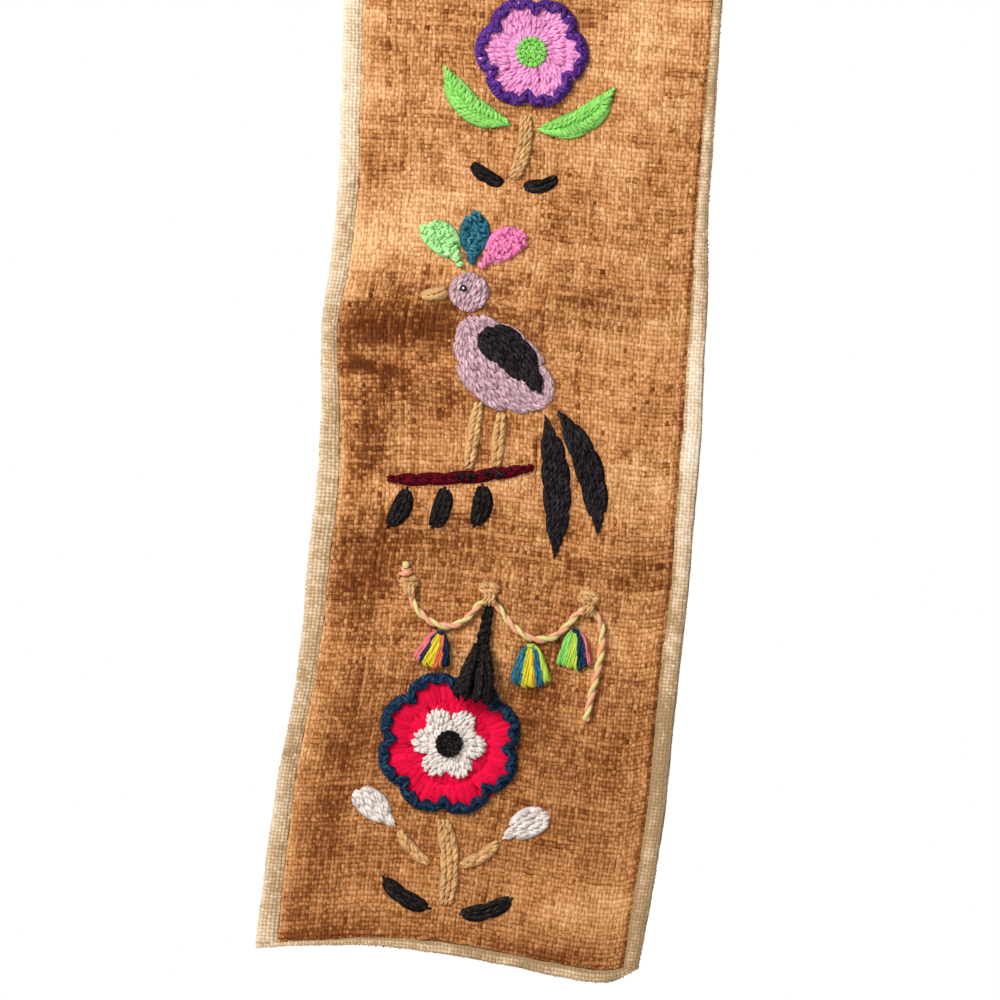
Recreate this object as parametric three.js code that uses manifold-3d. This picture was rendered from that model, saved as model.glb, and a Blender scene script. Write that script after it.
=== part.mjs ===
// An embroidered wall banner: a brown woven panel on a cream backing cloth whose edges are rolled to the front,
// raised wool embroidery in three groups, and a twisted cord with tassels and a black plait.
// Millimetres. X runs to the right as seen from the front, the face looks along -Y, +Z is up.
// The origin is the middle of the top edge.
import * as THREE from "three";
import { mergeVertices } from "three/addons/utils/BufferGeometryUtils.js";
import Module from "manifold-3d";

const wasm = await Module();
wasm.setup();

// ---------------------------------------------------------------- driving sizes
const GAP = 0.3; // between pieces that touch
const PANEL_THICK = 1.2;
const BACKING_THICK = 1.1;
const PANEL_FACE = -1.3; // y of the panel's face where the cloth is flat
const PANEL_PROUD = 0.3; // the panel's face stands this far before the border's
const POCKET_GAP = 0.4; // round and behind the panel
const TOP_BORDER = 6;
const ROLLED_INSET = 0.01; // share of the width over which a rolled edge thins
const ROLLED_THINNING = 0.75; // on each face
const STITCH_HEIGHT = 1.5; // a field of wool stitches
const CELLS_ACROSS = 11;
const CELLS_DOWN = 36;
const BLADE_STEPS = 9; // outline points on each side of a blade
const POINTS_PER_PETAL = 6; // on a bloom's rim
const PETAL_ROUNDNESS = 0.6; // under 1 rounds the petals' tips
const EYE_SIDES = 14;
const MERGE_WITHIN = 1e-4;
const PRISM_DEPTH = 40;
const CORD_DIAMETER = 3;
const CORD_SIDES = 8;
const CORD_STEPS = 34;

// A table's rows as objects, from its column names.
function table(columns, rows) {
  const keys = columns.split(" ");
  return rows.map((row) => Object.fromEntries(keys.map((key, i) => [key, row[i]])));
}

// The outline at heights down the banner: the cloth's outer edges and the panel's seams.
const SECTIONS = table("z outerLeft seamLeft seamRight outerRight", [
  [0, -77.0, -70.4, 73.4, 77.0],
  [-40, -75.4, -68.8, 75.2, 78.5],
  [-85, -73.8, -67.2, 76.4, 79.6],
  [-130, -71.4, -64.4, 76.6, 80.8],
  [-160, -69.6, -62.4, 77.0, 81.4],
  [-190, -70.2, -63.6, 77.6, 84.0],
  [-215, -71.4, -67.0, 78.2, 84.9],
  [-250, -68.6, -62.4, 78.8, 86.4],
  [-280, -67.8, -60.4, 79.0, 86.4],
  [-310, -68.8, -61.2, 79.6, 86.6],
  [-340, -68.6, -61.4, 78.4, 86.0],
  [-370, -70.0, -63.2, 78.2, 85.4],
  [-400, -73.2, -66.4, 78.0, 85.2],
  [-430, -75.0, -67.4, 76.2, 83.2],
  [-470, -76.6, -67.8, 73.4, 79.4],
]);

// The wavy bottom edge and the panel's bottom seam, from left to right.
const BOTTOM = table("x outer seam", [
  [-77, -470.8, -468.6],
  [-54, -467.8, -464.8],
  [-30, -465.8, -461.8],
  [0, -466.8, -461.9],
  [28, -469.4, -464.8],
  [46, -471.8, -466.6],
  [68, -472.4, -467.6],
  [80, -465.5, -463.0],
]);

// Soft folds in the hanging cloth. turn is in degrees from level, length and width are half sizes,
// and depth is positive for a trough and negative for a ridge.
const FOLDS = table("x z turn length width depth", [
  [4, -290, 0, 150, 120, -2.6],
  [-44, -186, -6, 50, 16, -2.4],
  [-42, -224, 4, 46, 13, 2.6],
  [-38, -289, 8, 44, 11, -1.7],
  [-47, -316, 5, 42, 14, 1.7],
  [-52, -352, -4, 38, 16, -1.6],
  [-52, -428, 10, 40, 20, 1.9],
  [58, -104, 20, 42, 21, -1.9],
  [38, -172, -15, 48, 18, -1.4],
  [60, -212, 10, 46, 17, 1.7],
  [58, -256, -5, 44, 18, -1.9],
  [52, -330, -12, 60, 22, 1.5],
  [56, -452, 6, 44, 17, -2.4],
]);
const FLAT_TOP = 50; // the folds fade in over this length below the top edge

const COLOURS = {
  brown: 0xb9743f,
  cream: 0xe6d1af,
  pink: 0xec86cf,
  purple: 0x4a2a8c,
  neonGreen: 0x6fdc4a,
  teal: 0x1f7f96,
  hotPink: 0xf0529e,
  tan: 0xd2a86a,
  black: 0x1a1718,
  lavender: 0xb594bd,
  charcoal: 0x2b2a30,
  maroon: 0x5e1420,
  crimson: 0xe3143c,
  navy: 0x1d3350,
  white: 0xe8e4df,
  yellow: 0xe9dc3c,
  salmon: 0xf0937c,
};

// A blade's half width at t from base to tip is sin(pi t^skew)^fullness.
const FORMS = {
  leaf: { skew: 1, fullness: 0.85 },
  oval: { skew: 1, fullness: 0.5 },
  petal: { skew: 1.7, fullness: 0.6 },
  drop: { skew: 0.6, fullness: 0.7 },
  strip: { skew: 1, fullness: 0.16 },
};

// Fields of stitches: a blade from its base (x0, z0) to its tip (x1, z1), bowed sideways by bend.
// Layer 1 lies on the cloth, layer 2 on a field of layer 1.
const BLADES = table("name yarn x0 z0 x1 z1 bend width form layer", [
  ["top_leaf_left", "neonGreen", 1, -74, -17, -44, 5, 11, "leaf", 1],
  ["top_leaf_middle", "neonGreen", 4, -72.5, 5, -32, 0, 11, "leaf", 1],
  ["top_leaf_right", "neonGreen", 8, -74, 27, -46, -5, 11, "leaf", 1],
  ["low_leaf_left", "neonGreen", -1.5, -128, -31, -106, 6, 10, "leaf", 1],
  ["low_leaf_right", "neonGreen", 8.5, -129, 39, -109, -6, 10, "leaf", 1],
  ["top_stem", "tan", 3.5, -123.5, 1, -150, 2, 5.5, "strip", 1],
  ["top_sprig_left", "black", -1.6, -152, -17, -144, 2, 5, "leaf", 1],
  ["top_sprig_right", "black", 4.2, -152.6, 20, -147, -2, 5, "leaf", 1],

  ["crest_green", "neonGreen", -17, -187, -34, -172, -2, 10, "petal", 1],
  ["crest_teal", "teal", -13, -186.4, -12.5, -165, 0, 9.5, "petal", 1],
  ["crest_pink", "hotPink", -9, -187, 8, -172, 2, 10, "petal", 1],
  ["bird_head", "lavender", -13, -189.4, -13, -205.4, 0, 15, "oval", 1],
  ["bird_beak", "tan", -21, -196.5, -33, -200.5, 1, 5, "drop", 1],
  ["bird_body", "lavender", -15, -209, 24, -240, -3, 31, "oval", 1],
  ["bird_wing", "charcoal", -6.5, -212.5, 20, -236.5, 3, 15, "drop", 2],
  ["tail_plume_left", "charcoal", 22, -244, 31, -303, 3, 10, "leaf", 1],
  ["tail_plume_right", "charcoal", 26.5, -241.5, 48, -292, 5, 10, "leaf", 1],
  ["leg_left", "tan", -5, -241.5, -7, -269.6, 0, 4.5, "strip", 1],
  ["leg_right", "tan", 4.5, -245.2, 4, -267.8, 0, 4.5, "strip", 1],
  ["twig", "maroon", -40, -276, 20, -266, -2, 3.6, "strip", 1],
  ["twig_leaf_left", "black", -31, -278, -38, -296, 2, 7, "leaf", 1],
  ["twig_leaf_middle", "black", -16, -276.5, -20, -295, 2, 7, "leaf", 1],
  ["twig_leaf_right", "black", -1, -273.9, -3, -293, 2, 7, "leaf", 1],

  ["knot_left", "tan", -31, -318, -23, -316.5, 0, 5, "oval", 1],
  ["knot_middle", "tan", 1.5, -317, 10, -317, 0, 5, "oval", 1],
  ["knot_right", "tan", 42, -317, 51, -317.5, 0, 5.6, "oval", 1],
  ["low_stem", "tan", -5, -412, -1, -447, 2.5, 7, "strip", 1],
  ["branch_left", "tan", -8.4, -430.5, -22.2, -418.4, 1.5, 3.4, "strip", 1],
  ["branch_right", "tan", 4, -430, 18.4, -419.4, -1.5, 3.4, "strip", 1],
  ["bud_left", "white", -23.4, -417.4, -42, -404, -1, 11, "petal", 1],
  ["bud_right", "white", 19.6, -418.4, 38, -406.5, 1, 11, "petal", 1],
  ["low_sprig_left", "black", -6, -449, -28, -437, 2.5, 6, "leaf", 1],
  ["low_sprig_right", "black", 4, -450, 27, -441, -2.5, 6, "leaf", 1],
]);

// Round blooms: a scalloped field, a zigzag edging on its rim, inner petals and an eye.
const BLOOMS = table("name yarn x z radius petals notch edging teeth eye eyeRadius", [
  ["pink_bloom", "pink", 4, -98, 23, 6, 3.2, "purple", 18, "neonGreen", 6.2],
  ["crimson_bloom", "crimson", -5, -381, 29.5, 8, 3.6, "navy", 24, "black", 5.4],
]);
const EDGING = { inset: 2.6, swing: 1.5, width: 2.8 }; // measured from the rim inwards
const INNER_STAR = { bloom: "crimson_bloom", yarn: "white", radius: 15.5, petals: 6, notch: 6.5 };

// The cord's route, from its first knot to its free end. lift is its middle's height over the cloth.
const CORD_ROUTE = table("x z lift", [
  [-26.5, -321.4, 1.9],
  [-23, -327.5, 1.9],
  [-16, -332.6, 1.9],
  [-8.5, -333.4, 1.9],
  [-2, -329.4, 1.9],
  [2.6, -323.4, 1.9],
  [6.6, -321.6, 1.9],
  [10.6, -324.6, 1.9],
  [17, -331.6, 1.9],
  [25, -335.6, 1.9],
  [33, -334.4, 1.9],
  [39, -328.8, 1.9],
  [43, -323.4, 1.9],
  [48, -322.2, 2.1],
  [52, -326.6, 2.2],
  [53.4, -335, 2.2],
  [52.6, -346, 2.0],
  [50.8, -357, 2.0],
  [49.6, -367, 2.0],
]);

// Fan-shaped tassels: each one's top, its lean from plumb in degrees, its length and its spread.
const TASSELS = table("name yarn x z lean length spread", [
  ["tassel_left", "teal", -12.5, -335.6, 12, 14.5, 14],
  ["tassel_middle", "yellow", 24.5, -337.8, -5, 17, 15.5],
  ["tassel_right", "neonGreen", 42.2, -330.2, -3, 15.5, 13.5],
]);
const TASSEL_THICK = 3;
const TASSEL_LIFT = 2.1; // its middle over the cloth
const TASSEL_BEVEL = 0.8;
const FAN = { neck: 1, bulge: 0.9, bulgeAt: 0.35, cornerAt: 0.8, hem: 1.2, curveSteps: 4 }; // shares of its reach

// The black plait hangs from the cord over the crimson bloom. flatness is its thickness as a share of its
// width. Each ring has its place down the length, its half width and its middle's height over the cloth.
const PLAIT = { x: 6.2, z: -324.4, lean: 5, length: 39, flatness: 0.5 };
const PLAIT_RINGS = table("at radius lift", [
  [0, 1.4, 1.4],
  [0.09, 2.7, 2.0],
  [0.2, 2.6, 2.1],
  [0.3, 3.4, 2.6],
  [0.42, 3.0, 3.4],
  [0.55, 4.6, 5.2],
  [0.68, 5.8, 7.4],
  [0.84, 7.0, 8.1],
  [0.95, 7.4, 8.2],
  [1, 6.2, 8.0],
]);
const PLAIT_SIDES = 12;

// ---------------------------------------------------------------- the cloth's surface
// A smooth curve through one column of a table, read at a place along another.
function between(rows, along, column, at) {
  const down = rows[0][along] > rows[rows.length - 1][along];
  const side = (row) => (down ? -row[along] : row[along]);
  const place = down ? -at : at;
  const last = rows.length - 2;
  let i = rows.findIndex((row) => side(row) > place) - 1;
  if (i < 0) i = place < side(rows[0]) ? 0 : last;
  const slope = (k) => {
    const a = rows[Math.max(k - 1, 0)];
    const b = rows[Math.min(k + 1, rows.length - 1)];
    return (b[column] - a[column]) / (side(b) - side(a));
  };
  const span = side(rows[i + 1]) - side(rows[i]);
  const t = THREE.MathUtils.clamp((place - side(rows[i])) / span, 0, 1);
  const t2 = t * t;
  const t3 = t2 * t;
  return (
    rows[i][column] * (2 * t3 - 3 * t2 + 1) +
    rows[i + 1][column] * (3 * t2 - 2 * t3) +
    slope(i) * span * (t3 - 2 * t2 + t) +
    slope(i + 1) * span * (t3 - t2)
  );
}

// y of the panel's face at (x, z).
function clothFace(x, z) {
  let depth = 0;
  for (const fold of FOLDS) {
    const turn = THREE.MathUtils.degToRad(fold.turn);
    const along = (x - fold.x) * Math.cos(turn) + (z - fold.z) * Math.sin(turn);
    const across = (z - fold.z) * Math.cos(turn) - (x - fold.x) * Math.sin(turn);
    depth += fold.depth * Math.exp(-((along / fold.length) ** 2) - (across / fold.width) ** 2);
  }
  return PANEL_FACE + depth * THREE.MathUtils.smoothstep(-z, 0, FLAT_TOP);
}

// A sheet's four edges. grow moves them outwards.
function outline(kind, grow = 0) {
  const left = kind + "Left";
  const right = kind + "Right";
  return {
    left: (z) => between(SECTIONS, "z", left, z) - grow,
    right: (z) => between(SECTIONS, "z", right, z) + grow,
    top: (kind === "seam" ? -TOP_BORDER : 0) + grow,
    bottom: (x) => between(BOTTOM, "x", kind, x) - grow,
  };
}

function evenly(cells) {
  return Array.from({ length: cells + 1 }, (_, i) => i / cells);
}

// A closed sheet between two depths from the cloth's face, near and far. Where rolled is true its rim is thinner.
function sheet(edges, near, far, rolled = false) {
  const inner = (cells) => evenly(cells).map((s) => ROLLED_INSET + s * (1 - 2 * ROLLED_INSET));
  const shares = (cells) => (rolled ? [0, ...inner(cells), 1] : evenly(cells));
  const across = shares(CELLS_ACROSS);
  const down = shares(CELLS_DOWN);
  const columns = across.length;
  const count = columns * down.length;
  const lowest = edges.bottom(0);
  const points = [];
  for (const [depth, thinning] of [[near, ROLLED_THINNING], [far, -ROLLED_THINNING]]) {
    down.forEach((v, j) => {
      const level = edges.top + v * (lowest - edges.top);
      across.forEach((u, i) => {
        const x = edges.left(level) + u * (edges.right(level) - edges.left(level));
        const z = edges.top + v * (edges.bottom(x) - edges.top);
        const rim = i === 0 || j === 0 || i === columns - 1 || j === down.length - 1;
        points.push(x, clothFace(x, z) + depth + (rolled && rim ? thinning : 0), z);
      });
    });
  }
  const faces = [];
  const quad = (a, b, c, d) => faces.push(a, b, c, a, c, d);
  const at = (i, j) => j * columns + i;
  for (let j = 0; j + 1 < down.length; j++) {
    for (let i = 0; i + 1 < columns; i++) {
      quad(at(i, j), at(i, j + 1), at(i + 1, j + 1), at(i + 1, j));
      quad(count + at(i, j), count + at(i + 1, j), count + at(i + 1, j + 1), count + at(i, j + 1));
    }
  }
  const rim = [];
  for (let i = 0; i + 1 < columns; i++) rim.push(at(i, 0));
  for (let j = 0; j + 1 < down.length; j++) rim.push(at(columns - 1, j));
  for (let i = columns - 1; i > 0; i--) rim.push(at(i, down.length - 1));
  for (let j = down.length - 1; j > 0; j--) rim.push(at(0, j));
  rim.forEach((a, k) => {
    const b = rim[(k + 1) % rim.length];
    quad(a, b, count + b, count + a);
  });
  const geometry = new THREE.BufferGeometry();
  geometry.setAttribute("position", new THREE.Float32BufferAttribute(points, 3));
  geometry.setIndex(faces);
  return geometry;
}

// ---------------------------------------------------------------- solids
function toSolid(geometry) {
  const bare = geometry.clone();
  bare.deleteAttribute("normal");
  bare.deleteAttribute("uv");
  const merged = mergeVertices(bare, MERGE_WITHIN);
  return new wasm.Manifold(
    new wasm.Mesh({
      numProp: 3,
      vertProperties: merged.attributes.position.array,
      triVerts: new Uint32Array(merged.index.array),
    }),
  );
}

function toGeometry(solid) {
  const mesh = solid.getMesh();
  const geometry = new THREE.BufferGeometry();
  geometry.setAttribute("position", new THREE.BufferAttribute(mesh.vertProperties, 3));
  geometry.setIndex(new THREE.BufferAttribute(mesh.triVerts, 1));
  geometry.computeVertexNormals();
  return geometry;
}

const group = new THREE.Group();

function add(name, geometry, colour, roughness = 0.95) {
  const material = new THREE.MeshStandardMaterial({ color: COLOURS[colour], roughness, metalness: 0 });
  const mesh = new THREE.Mesh(geometry, material);
  mesh.name = name;
  group.add(mesh);
  return mesh;
}

// A prism through the cloth from an outline drawn in X and Z.
function prism(shape) {
  const geometry = new THREE.ExtrudeGeometry(shape, { depth: PRISM_DEPTH, bevelEnabled: false });
  geometry.rotateX(Math.PI / 2);
  geometry.translate(0, PRISM_DEPTH / 2, 0);
  return toSolid(geometry);
}

// The slab over the panel in which the stitch fields of one layer lie.
function stitchLayer(layer) {
  const lift = GAP + (layer - 1) * (STITCH_HEIGHT + GAP);
  return toSolid(sheet(outline("seam"), -lift - STITCH_HEIGHT, -lift));
}
const LAYERS = { 1: stitchLayer(1), 2: stitchLayer(2), 3: stitchLayer(3) };

function addField(name, shape, colour, layer, opening = null) {
  const field = opening ? prism(shape).subtract(prism(opening)) : prism(shape);
  add(name, toGeometry(field.intersect(LAYERS[layer])), colour);
}

// ---------------------------------------------------------------- panel and backing
function buildCloths() {
  add("front_panel", sheet(outline("seam"), 0, PANEL_THICK), "brown");
  const floor = PANEL_THICK + POCKET_GAP;
  const whole = toSolid(sheet(outline("outer"), PANEL_PROUD, floor + BACKING_THICK, true));
  const pocket = toSolid(sheet(outline("seam", POCKET_GAP), -PRISM_DEPTH / 2, floor));
  add("backing", toGeometry(whole.subtract(pocket)), "cream");
}

// ---------------------------------------------------------------- embroidery
function bladeShape(blade) {
  const base = new THREE.Vector2(blade.x0, blade.z0);
  const run = new THREE.Vector2(blade.x1 - blade.x0, blade.z1 - blade.z0);
  const side = new THREE.Vector2(-run.y, run.x).normalize();
  const form = FORMS[blade.form];
  const edge = (t, hand) => {
    const half = (blade.width / 2) * Math.sin(Math.PI * t ** form.skew) ** form.fullness;
    const middle = base.clone().addScaledVector(run, t).addScaledVector(side, blade.bend * 4 * t * (1 - t));
    return middle.addScaledVector(side, hand * half);
  };
  const steps = evenly(BLADE_STEPS + 1).slice(1, -1);
  const ease = (t) => (1 - Math.cos(Math.PI * t)) / 2;
  const points = [
    edge(0, 0),
    ...steps.map((t) => edge(ease(t), -1)),
    edge(1, 0),
    ...steps.reverse().map((t) => edge(ease(t), 1)),
  ];
  return new THREE.Shape(points);
}

// Points round a scalloped rim: reach(angle) gives the distance from the middle.
function roundPoints(bloom, count, reach) {
  return Array.from({ length: count }, (_, k) => {
    const angle = (2 * Math.PI * k) / count;
    const r = reach(angle, k);
    return new THREE.Vector2(bloom.x + r * Math.sin(angle), bloom.z + r * Math.cos(angle));
  });
}

function scallop(radius, petals, notch) {
  return (angle) => radius - notch * (1 - Math.abs(Math.sin((petals * angle) / 2)) ** PETAL_ROUNDNESS);
}

function buildBloom(bloom) {
  const rim = scallop(bloom.radius, bloom.petals, bloom.notch);
  addField(bloom.name, new THREE.Shape(roundPoints(bloom, bloom.petals * POINTS_PER_PETAL, rim)), bloom.yarn, 1);

  const swing = (k) => (k % 2 ? EDGING.swing : -EDGING.swing);
  const line = (offset) => (angle, k) => rim(angle) - EDGING.inset + swing(k) + offset;
  const [outer, inner] = [1, -1].map(
    (hand) => new THREE.Shape(roundPoints(bloom, bloom.teeth * 2, line((hand * EDGING.width) / 2))),
  );
  addField(bloom.name + "_edging", outer, bloom.edging, 2, inner);

  const onStar = INNER_STAR.bloom === bloom.name;
  if (onStar) {
    const star = scallop(INNER_STAR.radius, INNER_STAR.petals, INNER_STAR.notch);
    const points = roundPoints(bloom, INNER_STAR.petals * POINTS_PER_PETAL, star);
    addField(bloom.name + "_inner", new THREE.Shape(points), INNER_STAR.yarn, 2);
  }
  const eye = new THREE.Shape(roundPoints(bloom, EYE_SIDES, () => bloom.eyeRadius));
  addField(bloom.name + "_eye", eye, bloom.eye, onStar ? 3 : 2);
}

function buildEmbroidery() {
  for (const blade of BLADES) addField(blade.name, bladeShape(blade), blade.yarn, blade.layer);
  for (const bloom of BLOOMS) buildBloom(bloom);
}

// ---------------------------------------------------------------- cord, tassels and plait
function buildCord() {
  const route = CORD_ROUTE.map((p) => new THREE.Vector3(p.x, clothFace(p.x, p.z) - p.lift, p.z));
  const curve = new THREE.CatmullRomCurve3(route, false, "centripetal");
  const section = new THREE.Shape(
    evenly(CORD_SIDES)
      .slice(0, -1)
      .map((s) => new THREE.Vector2(Math.cos(2 * Math.PI * s), Math.sin(2 * Math.PI * s)))
      .map((p) => p.multiplyScalar(CORD_DIAMETER / 2)),
  );
  const options = { steps: CORD_STEPS, extrudePath: curve, bevelEnabled: false };
  add("garland_cord", new THREE.ExtrudeGeometry(section, options), "salmon");
}

function buildTassel(tassel) {
  const reach = tassel.length - 2 * TASSEL_BEVEL;
  const half = tassel.spread / 2 - TASSEL_BEVEL;
  const shape = new THREE.Shape();
  const corner = -reach * FAN.cornerAt;
  const bulge = -reach * FAN.bulgeAt;
  shape.moveTo(-FAN.neck, -TASSEL_BEVEL);
  shape.quadraticCurveTo(-half * FAN.bulge, bulge, -half, corner);
  shape.quadraticCurveTo(0, -reach * FAN.hem, half, corner);
  shape.quadraticCurveTo(half * FAN.bulge, bulge, FAN.neck, -TASSEL_BEVEL);
  const depth = TASSEL_THICK - 2 * TASSEL_BEVEL;
  const geometry = new THREE.ExtrudeGeometry(shape, {
    depth,
    curveSegments: FAN.curveSteps,
    bevelThickness: TASSEL_BEVEL,
    bevelSize: TASSEL_BEVEL,
    bevelSegments: 1,
  });
  geometry.translate(0, 0, -depth / 2);
  geometry.rotateX(Math.PI / 2);
  const turn = THREE.MathUtils.degToRad(tassel.lean);
  const middleX = tassel.x - (Math.sin(turn) * tassel.length) / 2;
  const middleZ = tassel.z - (Math.cos(turn) * tassel.length) / 2;
  const mesh = add(tassel.name, geometry, tassel.yarn);
  mesh.rotation.y = turn;
  mesh.position.set(tassel.x, clothFace(middleX, middleZ) - TASSEL_LIFT, tassel.z);
}

function buildPlait() {
  const profile = PLAIT_RINGS.map((ring) => new THREE.Vector2(ring.radius, -ring.at * PLAIT.length));
  const outer = [new THREE.Vector2(0, 0), ...profile, new THREE.Vector2(0, -PLAIT.length)].reverse();
  const geometry = new THREE.LatheGeometry(outer, PLAIT_SIDES);
  geometry.rotateX(Math.PI / 2);
  geometry.scale(1, PLAIT.flatness, 1);
  const place = geometry.attributes.position;
  for (let i = 0; i < place.count; i++) {
    const lift = between(PLAIT_RINGS, "at", "lift", -place.getZ(i) / PLAIT.length);
    place.setY(i, place.getY(i) - lift);
  }
  const mesh = add("black_plait", geometry, "black");
  mesh.rotation.y = THREE.MathUtils.degToRad(PLAIT.lean);
  mesh.position.set(PLAIT.x, clothFace(PLAIT.x, PLAIT.z), PLAIT.z);
}

buildCloths();
buildEmbroidery();
buildCord();
TASSELS.forEach(buildTassel);
buildPlait();

export default group;
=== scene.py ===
"""An embroidered wall banner, dressed for rendering.

A coarse brown panel and its rolled cream border are woven thread by thread over the hanging cloth's
folds. Wool embroidery lies on the panel: two blooms with leaves, a bird on a twig, and a twisted garland
cord with fan-shaped tassels and a black plait. Sizes are in millimetres until a mesh is made. X runs to
the right as seen from the front, the face looks along -Y and +Z is up. The origin is the middle of the
top edge.
"""

import math
from functools import partial
from types import SimpleNamespace

import bmesh
import bpy
import numpy as np
from bpy.props import FloatProperty, FloatVectorProperty, IntProperty, PointerProperty
from mathutils import Matrix, Vector


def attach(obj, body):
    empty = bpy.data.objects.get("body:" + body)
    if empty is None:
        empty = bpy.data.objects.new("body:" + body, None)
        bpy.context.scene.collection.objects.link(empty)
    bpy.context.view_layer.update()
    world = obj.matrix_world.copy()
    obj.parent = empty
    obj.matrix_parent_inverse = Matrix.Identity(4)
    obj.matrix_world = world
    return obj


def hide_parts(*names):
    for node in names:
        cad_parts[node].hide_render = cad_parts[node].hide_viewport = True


bl_info = {
    "name": "Embroidered Banner",
    "version": (1, 0, 0),
    "blender": (4, 5, 0),
    "location": "View3D > Sidebar > Banner",
    "description": "Weaves the cloths, sews the embroidery and hangs the garland of a wall banner",
    "category": "Object",
}

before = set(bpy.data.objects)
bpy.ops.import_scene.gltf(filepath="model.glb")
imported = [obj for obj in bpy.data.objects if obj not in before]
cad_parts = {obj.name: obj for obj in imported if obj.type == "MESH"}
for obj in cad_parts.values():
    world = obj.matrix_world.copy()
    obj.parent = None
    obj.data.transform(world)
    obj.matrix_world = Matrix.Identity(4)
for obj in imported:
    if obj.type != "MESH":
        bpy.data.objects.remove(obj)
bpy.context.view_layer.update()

MM = 0.001
TURN = 2 * math.pi
FRONT = np.array([0.0, -1.0, 0.0])  # the way the face looks
SEED = 7
BEAT = 1.6  # a thread's own length from one crossing to the next
PLY = 0.58  # a ply's thickness as a share of its two-ply yarn
FIBRE = 0.045  # half the thickness of a loose fibre

# Lifts over the panel's face, with the widths and thicknesses that go with them.
SHEET_LIFT, SHEET_THICKNESS = -0.42, 0.45  # the sheet under the panel's threads
THREAD_LIFT = -0.22
POCKET_LIFT, POCKET_RISE = -1.6, 0.7  # the backing's front under the panel, and its rise towards the seam
ROLL_LIFT, ROLL_HEIGHT = -0.9, 1.0  # the rolled border's foot, and its crest over that
REAR_LIFT, REAR_RISE = -2.65, 0.75  # the backing's rear, and its rise towards the outer edge
PRESSED = 0.5  # how far a bloom presses the threads under it down
WOOL_LIFT, LAYER_HEIGHT = 0.2, 1.9  # the first layer's seat on the cloth, and the height of a layer
HEM_WIDTH, HEM_DROP = 1.7, 0.95  # where the panel's cloth turns under at its own seams

CAMERA_PLACE = (0.0070, -1.5, -0.2806)  # in metres, as are the light's measures
KEY_PLACE, KEY_AIM, KEY_SIZE = (-0.95, -1.25, 0.55), (0, 0, -0.26), 0.6


# ---------------------------------------------------------------- tables
def table(columns, rows):
    """A table's rows as objects, from its column names."""
    return [SimpleNamespace(**dict(zip(columns.split(), row))) for row in rows]


PANEL_FACE = -1.3  # y of the panel's face where the cloth is flat
FLAT_TOP = 50  # the folds fade in over this length below the top edge
TOP_BORDER = 6

# The outline at heights down the banner: the cloth's outer edges and the panel's seams.
SECTIONS = table("z outer_left seam_left seam_right outer_right", [
    (0, -77.0, -70.4, 73.4, 77.0),
    (-40, -75.4, -68.8, 75.2, 78.5),
    (-85, -73.8, -66.4, 76.4, 79.6),
    (-130, -71.4, -63.6, 76.6, 80.8),
    (-160, -69.6, -61.8, 77.0, 81.4),
    (-190, -70.2, -62.5, 77.6, 84.0),
    (-215, -71.4, -65.4, 78.2, 84.9),
    (-250, -68.6, -61.6, 78.8, 86.4),
    (-280, -67.8, -59.2, 79.0, 86.4),
    (-310, -68.8, -60.2, 79.6, 86.6),
    (-340, -68.6, -60.5, 78.4, 86.0),
    (-370, -70.0, -63.2, 78.2, 85.4),
    (-400, -73.2, -66.4, 78.0, 85.2),
    (-430, -75.0, -67.4, 76.2, 83.2),
    (-470, -76.6, -67.8, 73.4, 79.4),
])

# The wavy bottom edge and the panel's bottom seam, from left to right.
BOTTOM = table("x outer seam", [
    (-77, -470.8, -469.2),
    (-54, -467.8, -466.5),
    (-30, -465.8, -463.0),
    (0, -466.8, -462.3),
    (28, -469.4, -464.8),
    (46, -471.8, -466.6),
    (68, -472.4, -467.6),
    (80, -465.5, -463.0),
])

# Soft folds in the hanging cloth. turn is in degrees from level, length and width are half sizes,
# and depth is positive for a trough and negative for a ridge.
FOLDS = table("x z turn length width depth", [
    (4, -290, 0, 150, 120, -2.6),
    (-44, -186, -6, 50, 16, -2.4),
    (-42, -224, 4, 46, 13, 2.6),
    (-38, -289, 8, 44, 11, -1.7),
    (-47, -316, 5, 42, 14, 1.7),
    (-52, -352, -4, 38, 16, -1.6),
    (-52, -428, 10, 40, 20, 1.9),
    (58, -104, 20, 42, 21, -1.9),
    (38, -172, -15, 48, 18, -1.4),
    (60, -212, 10, 46, 17, 1.7),
    (58, -256, -5, 44, 18, -1.9),
    (52, -330, -12, 60, 22, 1.5),
    (56, -452, 6, 44, 17, -2.4),
])

# Fine creases, too small for the solids.
CREASES = table("x z turn length width depth", [
    (-50, -160, -12, 22, 3.5, 0.35),
    (-40, -206, -8, 26, 4.0, -0.45),
    (-34, -238, 7, 24, 4.0, 0.40),
    (-50, -262, -5, 18, 3.5, -0.35),
    (-36, -302, 9, 22, 3.5, 0.40),
    (-50, -334, 2, 20, 4.0, 0.35),
    (-56, -404, 16, 18, 4.5, -0.40),
    (-36, -444, 12, 24, 4.0, 0.35),
    (52, -128, 24, 22, 4.0, 0.40),
    (46, -190, -20, 20, 3.5, 0.35),
    (62, -232, 12, 16, 3.5, -0.40),
    (50, -280, -9, 26, 4.0, 0.40),
    (58, -360, -16, 24, 4.5, -0.35),
    (50, -420, 14, 20, 4.0, 0.35),
    (20, -154, -10, 24, 4.0, 0.30),
    (-4, -308, 5, 30, 4.0, 0.30),
])

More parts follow.
